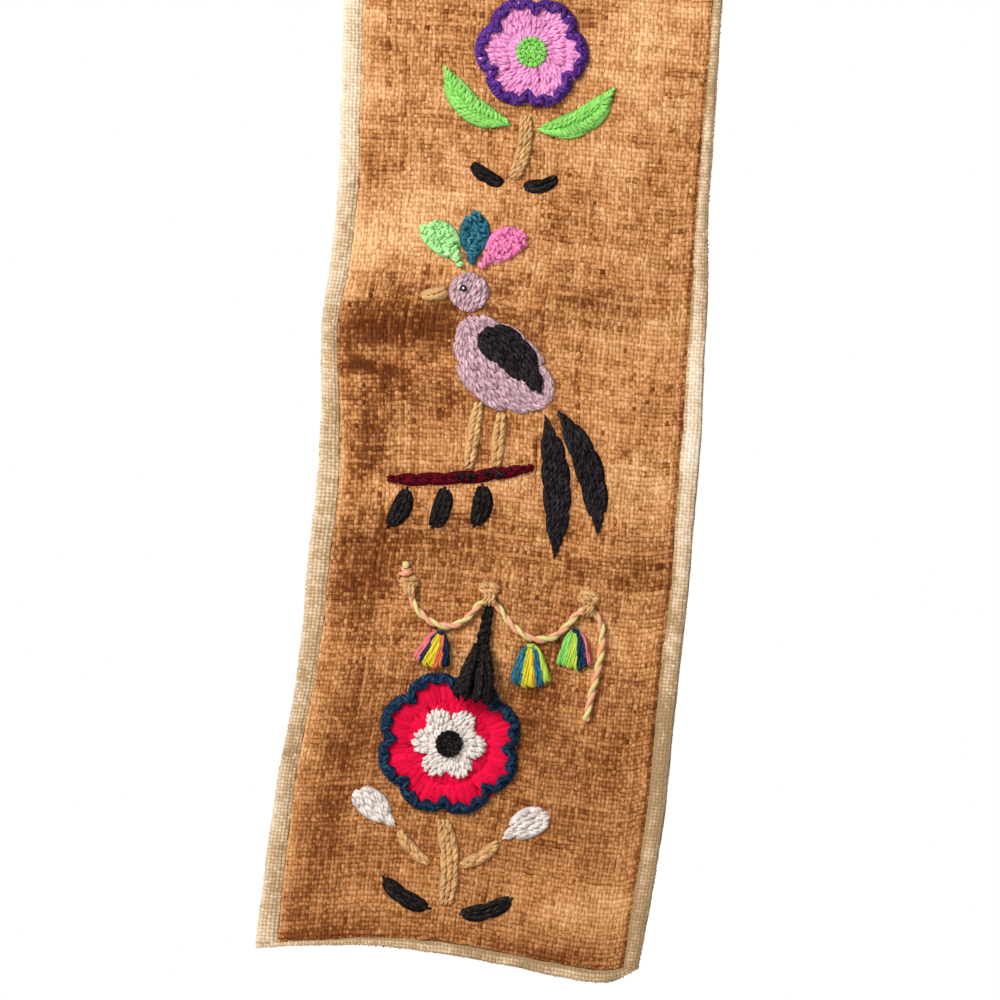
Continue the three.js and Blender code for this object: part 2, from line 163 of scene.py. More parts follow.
# Changes to the brown, partly real stains and fading, partly painted light and shade on the folds: amount is
# negative for a dark patch and positive for a light one.
PATCHES = table("x z turn length width amount", [
    (-64, -115, 88, 60, 9, 0.16),
    (-64, -186, 80, 18, 9, 0.26),
    (-64, -286, 86, 34, 8, 0.14),
    (-70, -415, 88, 60, 5, 0.16),
    (-30, -166, -6, 30, 23, 0.27),
    (-44, -213, 5, 36, 14, -0.30),
    (-51, -230, 0, 14, 13, -0.12),
    (-49, -262, 86, 20, 7, -0.26),
    (-45, -315, 5, 22, 15, -0.32),
    (-62, -330, 12, 14, 7, -0.10),
    (-49, -392, 88, 48, 9, -0.18),
    (-32, -370, 84, 26, 9, -0.13),
    (-30, -425, 10, 26, 12, -0.08),
    (-52, -467, 4, 24, 9, -0.20),
    (-16, -204, 0, 18, 9, -0.14),
    (-12, -298, 6, 24, 10, -0.11),
    (-36, -326, 4, 16, 5, 0.14),
    (2, -345, 10, 22, 12, 0.16),
    (50, -88, 78, 32, 20, 0.30),
    (58, -124, 20, 24, 12, 0.09),
    (26, -142, 0, 22, 10, 0.10),
    (58, -206, 6, 28, 10, 0.16),
    (50, -268, -4, 32, 14, 0.18),
    (74, -303, 4, 14, 10, -0.12),
    (60, -330, -8, 30, 12, 0.16),
    (58, -378, 70, 28, 12, -0.11),
    (30, -372, 80, 24, 10, -0.04),
    (62, -446, 5, 28, 10, 0.13),
    (40, -468, 0, 24, 7, -0.20),
    (12, -222, 0, 14, 20, -0.06),
    (4, -132, 0, 20, 8, -0.05),
    (-51, -216, 0, 7, 5, -0.16),
    (-31.5, -215, 0, 9, 5, -0.18),
    (-55, -231, -20, 6, 4.5, -0.30),
    (-45, -234, -15, 9, 4, -0.22),
    (-50, -224.5, 0, 12, 3, 0.14),
    (-62, -450, 70, 10, 6, -0.16),
    (-50, -297, 0, 12, 7, -0.12),
    (-26, -122, 0, 10, 8, 0.12),
    (-57, -150, 80, 16, 8, -0.20),
    (-56, -182, 0, 12, 7, 0.20),
    (72, -130, 86, 26, 7, -0.12),
    (46, -180, -8, 18, 8, 0.16),
    (44, -201, 3, 36, 11, -0.16),
    (-22, -241, 4, 26, 10, -0.20),
    (-10, -281, 3, 44, 9, 0.16),
    (28, -350, 80, 40, 11, -0.20),
    (-58, -372, 85, 26, 7, 0.12),
    (-40, -380, 88, 14, 8, -0.08),
    (34, -412, -20, 20, 10, -0.14),
    (50, -441, 0, 18, 8, 0.16),
    (-24, -461, 4, 30, 7, -0.06),
])

# The same for the cream: positive makes it paler, negative darker and yellower.
CREAM_PATCHES = table("x z turn length width amount", [
    (-76, -50, 90, 110, 30, 0.34),
    (-72, -150, 90, 40, 20, 0.08),
    (0, 0, 0, 90, 14, 0.20),
    (84, -160, 90, 40, 14, -0.04),
    (84, -250, 90, 50, 14, 0.34),
    (84, -385, 90, 46, 14, -0.31),
    (82, -455, 90, 26, 14, -0.20),
    (-72, -225, 90, 30, 14, 0.02),
    (-72, -310, 90, 44, 14, 0.06),
    (-76, -455, 90, 24, 16, 0.12),
])

# A blade's half width at t from base to tip is sin(pi t^skew)^fullness.
FORMS = {
    "leaf": (1, 0.85),
    "oval": (1, 0.5),
    "petal": (1.7, 0.6),
    "drop": (0.6, 0.7),
    "strip": (1, 0.16),
}

# Fields of stitches: a blade from its base (x0, z0) to its tip (x1, z1), bowed sideways by bend.
# Layer 1 lies on the cloth, layer 2 on a field of layer 1. fill is the way the stitches lie in it.
BLADES = table("name yarn x0 z0 x1 z1 bend width form layer fill", [
    ("top_leaf_left", "green", 1, -74, -17, -44, 5, 11, "leaf", 1, "fishbone"),
    ("top_leaf_middle", "green", 4, -72.5, 5, -32, 0, 11, "leaf", 1, "fishbone"),
    ("top_leaf_right", "green", 8, -74, 27, -46, -5, 11, "leaf", 1, "fishbone"),
    ("low_leaf_left", "green", -1.5, -128, -31, -106, 6, 10, "leaf", 1, "fishbone"),
    ("low_leaf_right", "green", 8.5, -129, 39, -109, -6, 10, "leaf", 1, "fishbone"),
    ("top_stem", "tan", 3.5, -123.5, 1, -150, 2, 5.5, "strip", 1, "rows"),
    ("top_sprig_left", "black", -1.6, -152, -17, -144, 2, 5, "leaf", 1, "straight"),
    ("top_sprig_right", "black", 4.2, -152.6, 20, -147, -2, 5, "leaf", 1, "straight"),
    ("crest_green", "mint", -17, -187, -34, -172, -2, 12, "petal", 1, "knotty"),
    ("crest_teal", "teal", -13, -186.4, -12.5, -165, 0, 11, "petal", 1, "knotty"),
    ("crest_pink", "hot_pink", -9, -187, 8, -172, 2, 12, "petal", 1, "knotty"),
    ("bird_head", "lavender", -13, -189.4, -13, -205.4, 0, 15, "oval", 1, "rows"),
    ("bird_beak", "tan", -21, -196.5, -33, -200.5, 1, 5, "drop", 1, "straight"),
    ("bird_body", "lavender", -15, -209, 24, -240, -3, 31, "oval", 1, "rows"),
    ("bird_wing", "charcoal", -6.5, -212.5, 20, -236.5, 3, 15, "drop", 2, "rows"),
    ("tail_plume_left", "charcoal", 22, -244, 31, -303, 3, 10, "leaf", 1, "rows"),
    ("tail_plume_right", "charcoal", 26.5, -241.5, 48, -292, 5, 10, "leaf", 1, "rows"),
    ("leg_left", "tan", -5, -241.5, -7, -269.6, 0, 4.5, "strip", 1, "rows"),
    ("leg_right", "tan", 4.5, -245.2, 4, -267.8, 0, 4.5, "strip", 1, "rows"),
    ("twig", "maroon", -40, -276, 20, -266, -2, 3.6, "strip", 1, "rows"),
    ("twig_leaf_left", "black", -31, -278, -38, -296, 2, 7, "leaf", 1, "straight"),
    ("twig_leaf_middle", "black", -16, -276.5, -20, -295, 2, 7, "leaf", 1, "straight"),
    ("twig_leaf_right", "black", -1, -273.9, -3, -293, 2, 7, "leaf", 1, "straight"),
    ("knot_left", "tan", -31, -318, -23, -316.5, 0, 5, "oval", 1, "rows"),
    ("knot_middle", "tan", 1.5, -317, 10, -317, 0, 5, "oval", 1, "rows"),
    ("knot_right", "tan", 42, -317, 51, -317.5, 0, 5.6, "oval", 1, "rows"),
    ("low_stem", "tan", -5, -412, -1, -447, 2.5, 7, "strip", 1, "rows"),
    ("branch_left", "tan", -8.4, -430.5, -22.2, -418.4, 1.5, 3.4, "strip", 1, "rows"),
    ("branch_right", "tan", 4, -430, 18.4, -419.4, -1.5, 3.4, "strip", 1, "rows"),
    ("bud_left", "white", -23.4, -417.4, -42, -404, -1, 11, "petal", 1, "rows"),
    ("bud_right", "white", 19.6, -418.4, 38, -406.5, 1, 11, "petal", 1, "rows"),
    ("low_sprig_left", "black", -6, -449, -28, -437, 2.5, 6, "leaf", 1, "straight"),
    ("low_sprig_right", "black", 4, -450, 27, -441, -2.5, 6, "leaf", 1, "straight"),
])

# Round blooms: a scalloped field, a zigzag edging on its rim and an eye.
BLOOMS = table("name yarn x z radius petals notch edging teeth eye eye_radius", [
    ("pink_bloom", "pink", 4, -98, 23, 6, 3.2, "purple", 18, "green", 6.2),
    ("crimson_bloom", "crimson", -5, -381, 29.5, 8, 3.6, "navy", 24, "black", 5.4),
])
EDGING_INSET, EDGING_SWING = 2.6, 1.8  # the zigzag's middle inside the rim, and its reach to each side
STAR_RADIUS, STAR_PETALS, STAR_NOTCH = 15.5, 6, 6.5  # the white star inside the crimson bloom
PETAL_ROUNDNESS = 0.6

# The cord's route, from its first knot to its free end. lift is its middle's height over the cloth.
CORD_ROUTE = table("x z lift", [
    (-26.5, -321.4, 1.9),
    (-23, -327.5, 1.9),
    (-16, -332.6, 1.9),
    (-8.5, -333.4, 1.9),
    (-2, -329.4, 1.9),
    (2.6, -323.4, 1.9),
    (6.6, -321.6, 1.9),
    (10.6, -324.6, 1.9),
    (17, -331.6, 1.9),
    (25, -335.6, 1.9),
    (33, -334.4, 1.9),
    (39, -328.8, 1.9),
    (43, -323.4, 1.9),
    (48, -322.2, 2.1),
    (52, -326.6, 2.2),
    (53.4, -335, 2.2),
    (52.6, -346, 2.0),
    (50.8, -357, 2.0),
    (49.6, -367, 2.0),
])

# Fan-shaped tassels: each one's top, its lean from plumb in degrees, its length and its spread.
# wedges are the colours across the fan, each with its share of the strands.
TASSELS = table("name x z lean length spread wedges", [
    ("tassel_left", -12.5, -335.6, 12, 14.5, 14,
     [("rose", 2), ("indigo", 2), ("yellow", 4), ("coral", 3), ("navy", 2)]),
    ("tassel_middle", 24.5, -337.8, -5, 17, 15.5,
     [("teal", 4), ("yellow", 4), ("orange", 1), ("teal", 3), ("lime", 2)]),
    ("tassel_right", 42.2, -330.2, -3, 15.5, 13.5,
     [("green", 4), ("lime", 4), ("navy", 4), ("rose", 1)]),
])
TASSEL_LIFT = 2.1
BIRD_EYE = (-15.4, -196.0)

PLAIT_X, PLAIT_Z, PLAIT_LEAN, PLAIT_LENGTH, PLAIT_FLATNESS = 6.2, -324.4, 5, 39, 0.5
PLAIT_RINGS = table("at radius lift", [
    (0, 1.4, 1.4),
    (0.09, 2.7, 2.0),
    (0.2, 2.6, 2.1),
    (0.3, 3.4, 2.6),
    (0.42, 3.0, 3.4),
    (0.55, 4.6, 5.2),
    (0.68, 5.8, 7.4),
    (0.84, 7.0, 8.1),
    (0.95, 7.4, 8.2),
    (1, 6.2, 8.0),
])

# Each yarn's slot name, its colour, the colour that flecks it, and how much of it the flecks take.
YARNS = {
    "pink": ("pink_wool", "fcb2e0", "f68ac8", 0.3),
    "purple": ("purple_wool", "7445a2", "361a60", 0.4),
    "green": ("green_wool", "a4e87a", "76ca4c", 0.3),
    "mint": ("green_wool", "c8fdb6", "a4ee88", 0.3),
    "teal": ("teal_wool", "4a91a0", "0c3c5c", 0.42),
    "hot_pink": ("hot_pink_wool", "ff9ccc", "f468a8", 0.3),
    "tan": ("tan_wool", "e8ba82", "c8945c", 0.3),
    "black": ("black_wool", "1c191a", "4c433f", 0.1),
    "lavender": ("lavender_wool", "e8c4c9", "a47e8e", 0.35),
    "charcoal": ("charcoal_wool", "211c1e", "464044", 0.25),
    "maroon": ("maroon_wool", "6a1424", "3a0a14", 0.3),
    "crimson": ("crimson_wool", "ff1c4e", "fb1540", 0.4),
    "navy": ("navy_wool", "1e2a44", "36647a", 0.08),
    "white": ("white_wool", "f7ece5", "e2d4cc", 0.25),
    "salmon": ("twisted_cord", "f8a688", "f9c49a", 0.3),
    "pistachio": ("twisted_cord", "e2e090", "ecc890", 0.3),
    "rose": ("tassel_wool", "ea6f80", "f0968e", 0.3),
    "indigo": ("tassel_wool", "3f3b62", "223450", 0.35),
    "yellow": ("tassel_wool", "f2e040", "dcc82c", 0.3),
    "coral": ("tassel_wool", "f26a54", "f09c44", 0.3),
    "orange": ("tassel_wool", "f0a63a", "f2d23a", 0.3),
    "lime": ("tassel_wool", "d6e452", "a4dc58", 0.35),
}


def linear(code):
    """A colour written as six hex digits, in scene-linear values."""
    shares = [int(code[i:i + 2], 16) / 255 for i in (0, 2, 4)]
    return tuple(s / 12.92 if s <= 0.04045 else ((s + 0.055) / 1.055) ** 2.4 for s in shares)


# ---------------------------------------------------------------- settings
def length_setting(name, default, description):
    return FloatProperty(name=name, default=default * MM, unit="LENGTH", precision=5, description=description)


def colour_setting(name, default, description):
    return FloatVectorProperty(
        name=name, default=linear(default), subtype="COLOR", size=3, min=0, max=1, description=description
    )


def count_setting(name, default, least, description):
    return IntProperty(name=name, default=default, min=least, description=description)


class BannerCloth(bpy.types.PropertyGroup):
    """The two woven cloths."""

    warp_count: count_setting("Warp threads", 98, 20, "Upright threads in the panel")
    weft_count: count_setting("Weft threads", 254, 40, "Level threads in the panel")
    thread: length_setting("Thread", 1.66, "Width of an upright brown thread")
    crimp: length_setting("Crimp", 0.08, "How far a thread rises and dips as it crosses others")
    border_pitch: length_setting("Border pitch", 1.42, "Distance between threads in the cream border")
    # Gap, Dark brown and Light brown also carry painted light and shade: the darker ones painted shade in
    # fold troughs, on thread sides and between threads, the light one painted highlights.
    gap: colour_setting("Gap", "62341b", "Brown thread where it is stained through")
    dark: colour_setting("Dark brown", "854e28", "Brown thread in a stained patch")
    middle: colour_setting("Middle brown", "cb8d58", "Most of the brown thread")
    light: colour_setting("Light brown", "f5c18c", "Brown thread where it has faded")
    # Seam shadow is painted shade on the cream beside the seam; Shaded cream serves both soiled cream and
    # painted shade on the rolled border.
    cream_grey: colour_setting("Seam shadow", "a68a66", "Cream thread worn brown beside the seam")
    cream_dark: colour_setting("Shaded cream", "bd9a72", "Cream thread where it is soiled")
    cream: colour_setting("Cream", "ead2b2", "Most of the cream thread")
    cream_light: colour_setting("Pale cream", "fdf4e4", "Cleanest cream thread")


class BannerYarn(bpy.types.PropertyGroup):
    """The embroidery wool."""

    thickness: length_setting("Yarn", 2.3, "Thickness of the two-ply yarn")
    stitch: length_setting("Stitch", 6.0, "Length of a stitch in a row")
    twist: length_setting("Twist", 5.0, "Length in which the plies turn once")
    satin: length_setting("Satin yarn", 1.15, "Thickness of the flat crimson yarn")
    edging: length_setting("Edging yarn", 3.2, "Thickness of the doubled yarn in the zigzag edgings")
    fibres: count_setting("Loose fibres", 26, 0, "Loose fibres on twenty stitches")


class BannerTrim(bpy.types.PropertyGroup):
    """The garland."""

    cord: length_setting("Cord", 3.0, "Thickness of the twisted cord")
    cord_length: length_setting("Cord length", 137, "Length from the first knot to the free end")
    cord_twist: length_setting("Cord twist", 11, "Length in which the cord's two strands turn once")
    tassel_strand: length_setting("Tassel strand", 1.7, "Thickness of a looped strand in a tassel")
    plait_strands: count_setting("Plait strands", 50, 12, "Loose strands at its end")


class BannerStage(bpy.types.PropertyGroup):
    """Camera, lights and floor."""

    focal: FloatProperty(name="Focal length", default=132.4, min=20, subtype="DISTANCE_CAMERA",
                         description="The camera's lens")
    lean: FloatProperty(name="Lean", default=math.radians(5), subtype="ANGLE",
                        description="How far the camera is turned about its own line of sight")
    key: FloatProperty(name="Key light", default=31, min=0, unit="POWER",
                       description="Soft light from the upper left")
    fill: FloatProperty(name="Room light", default=0.34, min=0, description="Even light from all round")
    floor: colour_setting("Floor", "f2f0ec", "Pale floor under the banner")


def settings(group):
    return getattr(bpy.context.scene, "banner_" + group)


# ---------------------------------------------------------------- the cloth's surface
def smooth(t):
    t = np.clip(t, 0, 1)
    return t * t * (3 - 2 * t)


def column(rows, name):
    return np.array([getattr(row, name) for row in rows], float)


def between(rows, along, name, at):
    """A smooth curve through one column of a table, read at places along another."""
    place, value = column(rows, along), column(rows, name)
    at = np.asarray(at, float)
    if place[0] > place[-1]:
        place, at = -place, -at
    last = len(rows) - 1
    index = np.arange(last + 1)
    before, after = np.maximum(index - 1, 0), np.minimum(index + 1, last)
    slope = (value[after] - value[before]) / (place[after] - place[before])
    i = np.clip(np.searchsorted(place, at, side="right") - 1, 0, last - 1)
    span = place[i + 1] - place[i]
    t = np.clip((at - place[i]) / span, 0, 1)
    t2, t3 = t**2, t**3
    ends = value[i] * (2 * t3 - 3 * t2 + 1) + value[i + 1] * (3 * t2 - 2 * t3)
    return ends + slope[i] * span * (t3 - 2 * t2 + t) + slope[i + 1] * span * (t3 - t2)


def swell(rows, name, x, z):
    """The sum of a table's soft oval swellings at each place."""
    total = np.zeros(np.broadcast(x, z).shape)
    for row in rows:
        turn = math.radians(row.turn)
        along = (x - row.x) * math.cos(turn) + (z - row.z) * math.sin(turn)
        across = (z - row.z) * math.cos(turn) - (x - row.x) * math.sin(turn)
        total += getattr(row, name) * np.exp(-((along / row.length) ** 2) - (across / row.width) ** 2)
    return total


def cloth(x, z):
    """y of the panel's face."""
    return PANEL_FACE + swell(FOLDS + CREASES, "depth", x, z) * smooth(-z / FLAT_TOP)


def lay(x, z, lift):
    """Points that stand lift above the cloth's face, and the cloth's outward direction there."""
    x, z, lift = np.broadcast_arrays(*(np.asarray(a, float) for a in (x, z, lift)))
    step = 0.5
    slope_x = (cloth(x + step, z) - cloth(x - step, z)) / (2 * step)
    slope_z = (cloth(x, z + step) - cloth(x, z - step)) / (2 * step)
    out = np.stack([slope_x, -np.ones_like(x), slope_z], -1)
    out /= np.linalg.norm(out, axis=-1, keepdims=True)
    return np.stack([x, cloth(x, z), z], -1) + out * lift[..., None], out


def noise(x, z, size, seed):
    """Smooth seeded noise from 0 to 1, with features of that size in millimetres."""
    cells = 256
    lattice = np.random.default_rng(SEED * 1000 + seed).random((cells, cells))
    x, z = np.asarray(x, float) / size, np.asarray(z, float) / size
    i, j = np.floor(x).astype(int), np.floor(z).astype(int)
    u, v = smooth(x - i), smooth(z - j)

    def pick(a, b):
        return lattice[(i + a) % cells, (j + b) % cells]

    return (pick(0, 0) * (1 - u) + pick(1, 0) * u) * (1 - v) + (pick(0, 1) * (1 - u) + pick(1, 1) * u) * v


def drift(x, z, size, seed):
    """The same noise about zero, from -0.5 to 0.5."""
    return noise(x, z, size, seed) - 0.5


def edge(kind, side, at):
    """Where the outer edge or the seam runs: x of its left or right side at heights, or z of its bottom
    at places across."""
    if side == "bottom":
        return between(BOTTOM, "x", kind, at)
    return between(SECTIONS, "z", kind + "_" + side, at)


def spread(kind, u, v, grow=0.0):
    """x and z at shares u across and v down a cloth, its edges moved outwards by grow."""
    top = (-TOP_BORDER if kind == "seam" else 0.0) + grow
    lowest = float(edge(kind, "bottom", 0.0)) - grow
    level = top + v * (lowest - top)
    left, right = edge(kind, "left", level) - grow, edge(kind, "right", level) + grow
    x = left + u * (right - left)
    return x, top + v * (edge(kind, "bottom", x) - grow - top)


def border_share(x, z):
    """0 at the panel's seam, 1 at the banner's outer edge, and below 0 under the panel."""
    left, right = edge("seam", "left", z), edge("seam", "right", z)
    low = edge("seam", "bottom", x)
    shares = [
        (left - x) / (left - edge("outer", "left", z)),
        (x - right) / (edge("outer", "right", z) - right),
        (z + TOP_BORDER) / TOP_BORDER,
        (low - z) / (low - edge("outer", "bottom", x)),
    ]
    return np.maximum.reduce(shares)


def brown_tone(x, z):
    """How light the brown is, from 0 at its darkest to 1 at its lightest: stains and fading, painted light
    and shade on the folds and at the seams, and darker towards the bottom.
    """
    clouds = ((0.08, 26, 1), (0.13, 10, 2), (0.17, 5, 3), (0.18, 2.4, 6))
    cloudy = sum(share * drift(x, z, size, seed) for share, size, seed in clouds)
    from_left, from_right = x - edge("seam", "left", z), edge("seam", "right", z) - x
    # painted highlight on the turned edge along the left seam, painted shadow along the right seam
    shading = 0.16 * smooth(1 - from_left / 3.2) - 0.22 * smooth(1.2 - from_right / 2.6)
    ragged = [7 * drift(x, z, 9, seed) + 4 * drift(x, z, 4, seed) for seed in (4, 5)]
    even = 0.495 + 0.12 * z / 470 + shading + swell(PATCHES, "amount", x + ragged[0], z + ragged[1])
    return even + cloudy * (0.7 + 0.75 * smooth((even - 0.3) / 0.35)) * calm(z)


def calm(z):
    """The share of its unevenness that the panel keeps at a height: less low down."""
    return 1 - 0.3 * smooth((-300 - z) / 110)


def cream_tone(x, z):
    """How light the cream is, from 0 at its darkest to 1 at its palest, with painted light and shade across
    the rolled edges.
    """
    mottled = 0.2 * drift(x, z, 12, 71) + 0.16 * drift(x, z, 3, 72)
    from_left, from_right = x - edge("outer", "left", z), edge("outer", "right", z) - x
    # painted highlight on the left roll's outer edge, painted shade on the right roll's outer edge, painted
    # highlight on the right roll's crest
    roll_light_and_shade = 0.16 * smooth(1 - from_left / 3.5) - 0.16 * smooth(1 - from_right / 2.4)
    roll_light_and_shade = roll_light_and_shade + 0.14 * np.exp(-(((from_right - 4.4) / 1.6) ** 2))
    return 0.22 + mottled + roll_light_and_shade + swell(CREAM_PATCHES, "amount", x, z)


# ---------------------------------------------------------------- strands made into meshes
def lengths(middle):
    """Distance along each strand, from its start."""
    steps = np.linalg.norm(np.diff(middle, axis=1), axis=-1)
    return np.concatenate([np.zeros((len(middle), 1)), np.cumsum(steps, 1)], 1)


def frames_of(middle, out):
    """Across and up directions square to each strand, up leaning towards out."""
    run = np.gradient(middle, axis=1)
    run /= np.maximum(np.linalg.norm(run, axis=-1, keepdims=True), 1e-9)
    across = np.cross(out, run)
    across /= np.maximum(np.linalg.norm(across, axis=-1, keepdims=True), 1e-9)
    return across, np.cross(run, across)


class Strands:
    """Closed strands gathered from arrays, which become one mesh."""

    def __init__(self):
        self.count = 0
        self.points, self.normals, self.tones, self.locals, self.faces, self.slots = [], [], [], [], [], []

    def add(self, rng, middle, out, half, sides=5, tone=0.5, flat=1.0, slot=0, beat=None, lean=None):
        """middle is strands by points by 3, out the way up, and half each point's half thickness.
        With a beat, each step counts as that long in the strand's own coordinates. With a lean, its surface
        is shaded as a low mound whose sides lean outwards that much."""
        strands, steps = middle.shape[:2]
        across, up = frames_of(middle, np.broadcast_to(out, middle.shape))
        half = np.broadcast_to(half, (strands, steps))[:, :, None, None]
        angle = -math.pi / 2 + TURN * np.arange(sides) / sides
        cos, sin = np.cos(angle)[:, None], np.sin(angle)[:, None] * flat
        points = middle[:, :, None] + half * (cos * across[:, :, None] + sin * up[:, :, None])
        if beat is None:
            along = lengths(middle) + rng.uniform(0, 500, (strands, 1))
        else:
            along = beat * np.arange(steps) + beat * rng.integers(0, 300, (strands, 1))
        local = np.broadcast_to(along[:, :, None], (strands, steps, sides))
        offsets = [np.broadcast_to(half[..., 0] * c[:, 0], local.shape) for c in (cos, sin)]
        self.points.append(points.reshape(-1, 3))
        if lean is not None:
            normal = lean * cos * across[:, :, None] + np.where(sin > 0, 1.0, -1.0) * up[:, :, None]
            self.normals.append((normal / np.linalg.norm(normal, axis=-1, keepdims=True)).reshape(-1, 3))
        self.locals.append(np.stack([local, *offsets], -1).reshape(-1, 3))
        self.tones.append(np.repeat(np.broadcast_to(tone, (strands, steps)).ravel(), sides))

        index = self.count + np.arange(strands * steps * sides).reshape(strands, steps, sides)
        ahead = np.roll(index, -1, axis=2)
        quads = np.stack([index[:, :-1], ahead[:, :-1], ahead[:, 1:], index[:, 1:]], -1).reshape(-1, 4)
        for faces in (quads, index[:, 0, ::-1], index[:, -1]):
            self.faces.append(faces)
            self.slots.append(np.full(len(faces), slot))
        self.count += strands * steps * sides

    def twist(self, rng, middle, out, width, pitch, phase, sides=5, tone=0.5, flat=0.85, slots=(0, 0)):
        """Strands of plied yarn: plies that wind round each middle, one for each slot."""
        across, up = frames_of(middle, np.broadcast_to(out, middle.shape))
        width = np.broadcast_to(width, middle.shape[:2])
        ply = PLY if len(slots) == 2 else 1.0
        for k, slot in enumerate(slots):
            angle = np.asarray(phase)[:, None] + TURN * (lengths(middle) / pitch + k / len(slots))
            reach = (width * (1 - ply) / 2)[..., None]
            side, rise = np.cos(angle)[..., None] * across, flat * np.sin(angle)[..., None] * up
            self.add(rng, middle + reach * (side + rise), out, width * ply / 2, sides, tone, flat, slot)

    def fuzz(self, rng, count, length=(0.7, 1.9)):
        """Fine loose fibres that start anywhere on the strands so far."""
        if not count:
            return
        points, tones = np.concatenate(self.points), np.concatenate(self.tones)
        pick = rng.integers(0, len(points), count)
        start = points[pick]
        reach = rng.uniform(*length, (count, 1))
        way = rng.normal(0, 1, (count, 3))
        way[:, 1] = -np.abs(way[:, 1]) * 0.45
        way /= np.linalg.norm(way, axis=1, keepdims=True)
        curl = rng.normal(0, 0.35, (count, 3))
        curl[:, 1] = np.abs(curl[:, 1]) * 0.6
        t = np.array([0, 0.35, 0.7, 1.0])[None, :, None]
        middle = start[:, None] + reach[:, None] * (way[:, None] * t + curl[:, None] * t * t)
        out = np.cross(way, [0.31, 0.2, 0.93])[:, None]  # any direction square to the fibre
        out = out / np.linalg.norm(out, axis=-1, keepdims=True)
        taper = np.array([[1, 1, 0.8, 0.4]])
        # fibres a little lighter than their yarn: a painted highlight where they catch the light
        self.add(rng, middle, out, FIBRE * taper, 3, tones[pick][:, None] + 0.12)

    def piece(self, name, materials, slot, *nodes):
        """The finished piece, which rides on the body and stands for its CAD nodes."""
        points = np.concatenate(self.points) * MM
        loops = np.concatenate([faces.ravel() for faces in self.faces])
        sizes = np.concatenate([np.full(len(faces), faces.shape[1]) for faces in self.faces])
        mesh = bpy.data.meshes.new(name)
        mesh.vertices.add(len(points))
        mesh.loops.add(len(loops))
        mesh.polygons.add(len(sizes))
        mesh.vertices.foreach_set("co", points.ravel())
        mesh.loops.foreach_set("vertex_index", loops)
        mesh.polygons.foreach_set("loop_start", np.cumsum(sizes) - sizes)
        mesh.polygons.foreach_set("material_index", np.concatenate(self.slots))
        mesh.polygons.foreach_set("use_smooth", np.ones(len(sizes), bool))
        mesh.update(calc_edges=True)
        if self.normals:
            mesh.normals_split_custom_set_from_vertices(np.concatenate(self.normals).tolist())
        tone = mesh.attributes.new("Tone", "FLOAT", "POINT")
        tone.data.foreach_set("value", np.concatenate(self.tones))
        local = mesh.attributes.new("Strand", "FLOAT_VECTOR", "POINT")
        local.data.foreach_set("vector", np.concatenate(self.locals).ravel())
        add_bake_map(mesh)
        return finish_piece(bpy.data.objects.new(name, mesh), materials, slot, *nodes)


def add_bake_map(mesh, split_back=False):
    """A UV map flat from the front. With split_back, faces that look to the rear take its other half."""
    count = len(mesh.loops)
    vertex = np.empty(count, int)
    mesh.loops.foreach_get("vertex_index", vertex)
    place = np.empty(len(mesh.vertices) * 3)
    mesh.vertices.foreach_get("co", place)
    flat = place.reshape(-1, 3)[:, [0, 2]]
    low, high = flat.min(0), flat.max(0)
    uv = ((flat - low) / max((high - low).max(), 1e-6))[vertex]
    if split_back:
        back = np.empty(len(mesh.polygons) * 3)
        mesh.polygons.foreach_get("normal", back)
        size = np.empty(len(mesh.polygons), int)
        mesh.polygons.foreach_get("loop_total", size)
        uv[:, 0] = uv[:, 0] * 0.99 + 0.5 * np.repeat(back.reshape(-1, 3)[:, 1] > 0, size)
    mesh.uv_layers.new(name="OFBake").data.foreach_set("uv", uv.ravel())


def finish_piece(piece, materials, slot, *nodes):
    """Gives a piece its materials, puts it on the body and hides its CAD nodes. Its slot is not used."""
    bpy.context.scene.collection.objects.link(piece)
    for material in materials:
        piece.data.materials.append(material)
    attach(piece, "root")
    if nodes:
        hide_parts(*nodes)
    return piece


# ---------------------------------------------------------------- materials
class Number:
    """A number that varies over a surface. Python's arithmetic on it adds Math nodes."""

    def __init__(self, graph, socket):
        self.graph, self.socket = graph, socket

    def _math(self, operation, *others):
        values = dict(enumerate((self, *others)))
        made = self.graph.node("ShaderNodeMath", {"operation": operation}, values)
        return Number(self.graph, made.outputs[0])

    def __add__(self, other):
        return self._math("ADD", other)

    __radd__ = __add__

    def __sub__(self, other):
        return self._math("SUBTRACT", other)

    def __mul__(self, other):
        return self._math("MULTIPLY", other)

    def at_least(self, other):
        return self._math("MAXIMUM", other)

    def clipped(self):
        return self._math("MINIMUM", 1.0).at_least(0.0)

    def sine(self):
        return self._math("SINE")


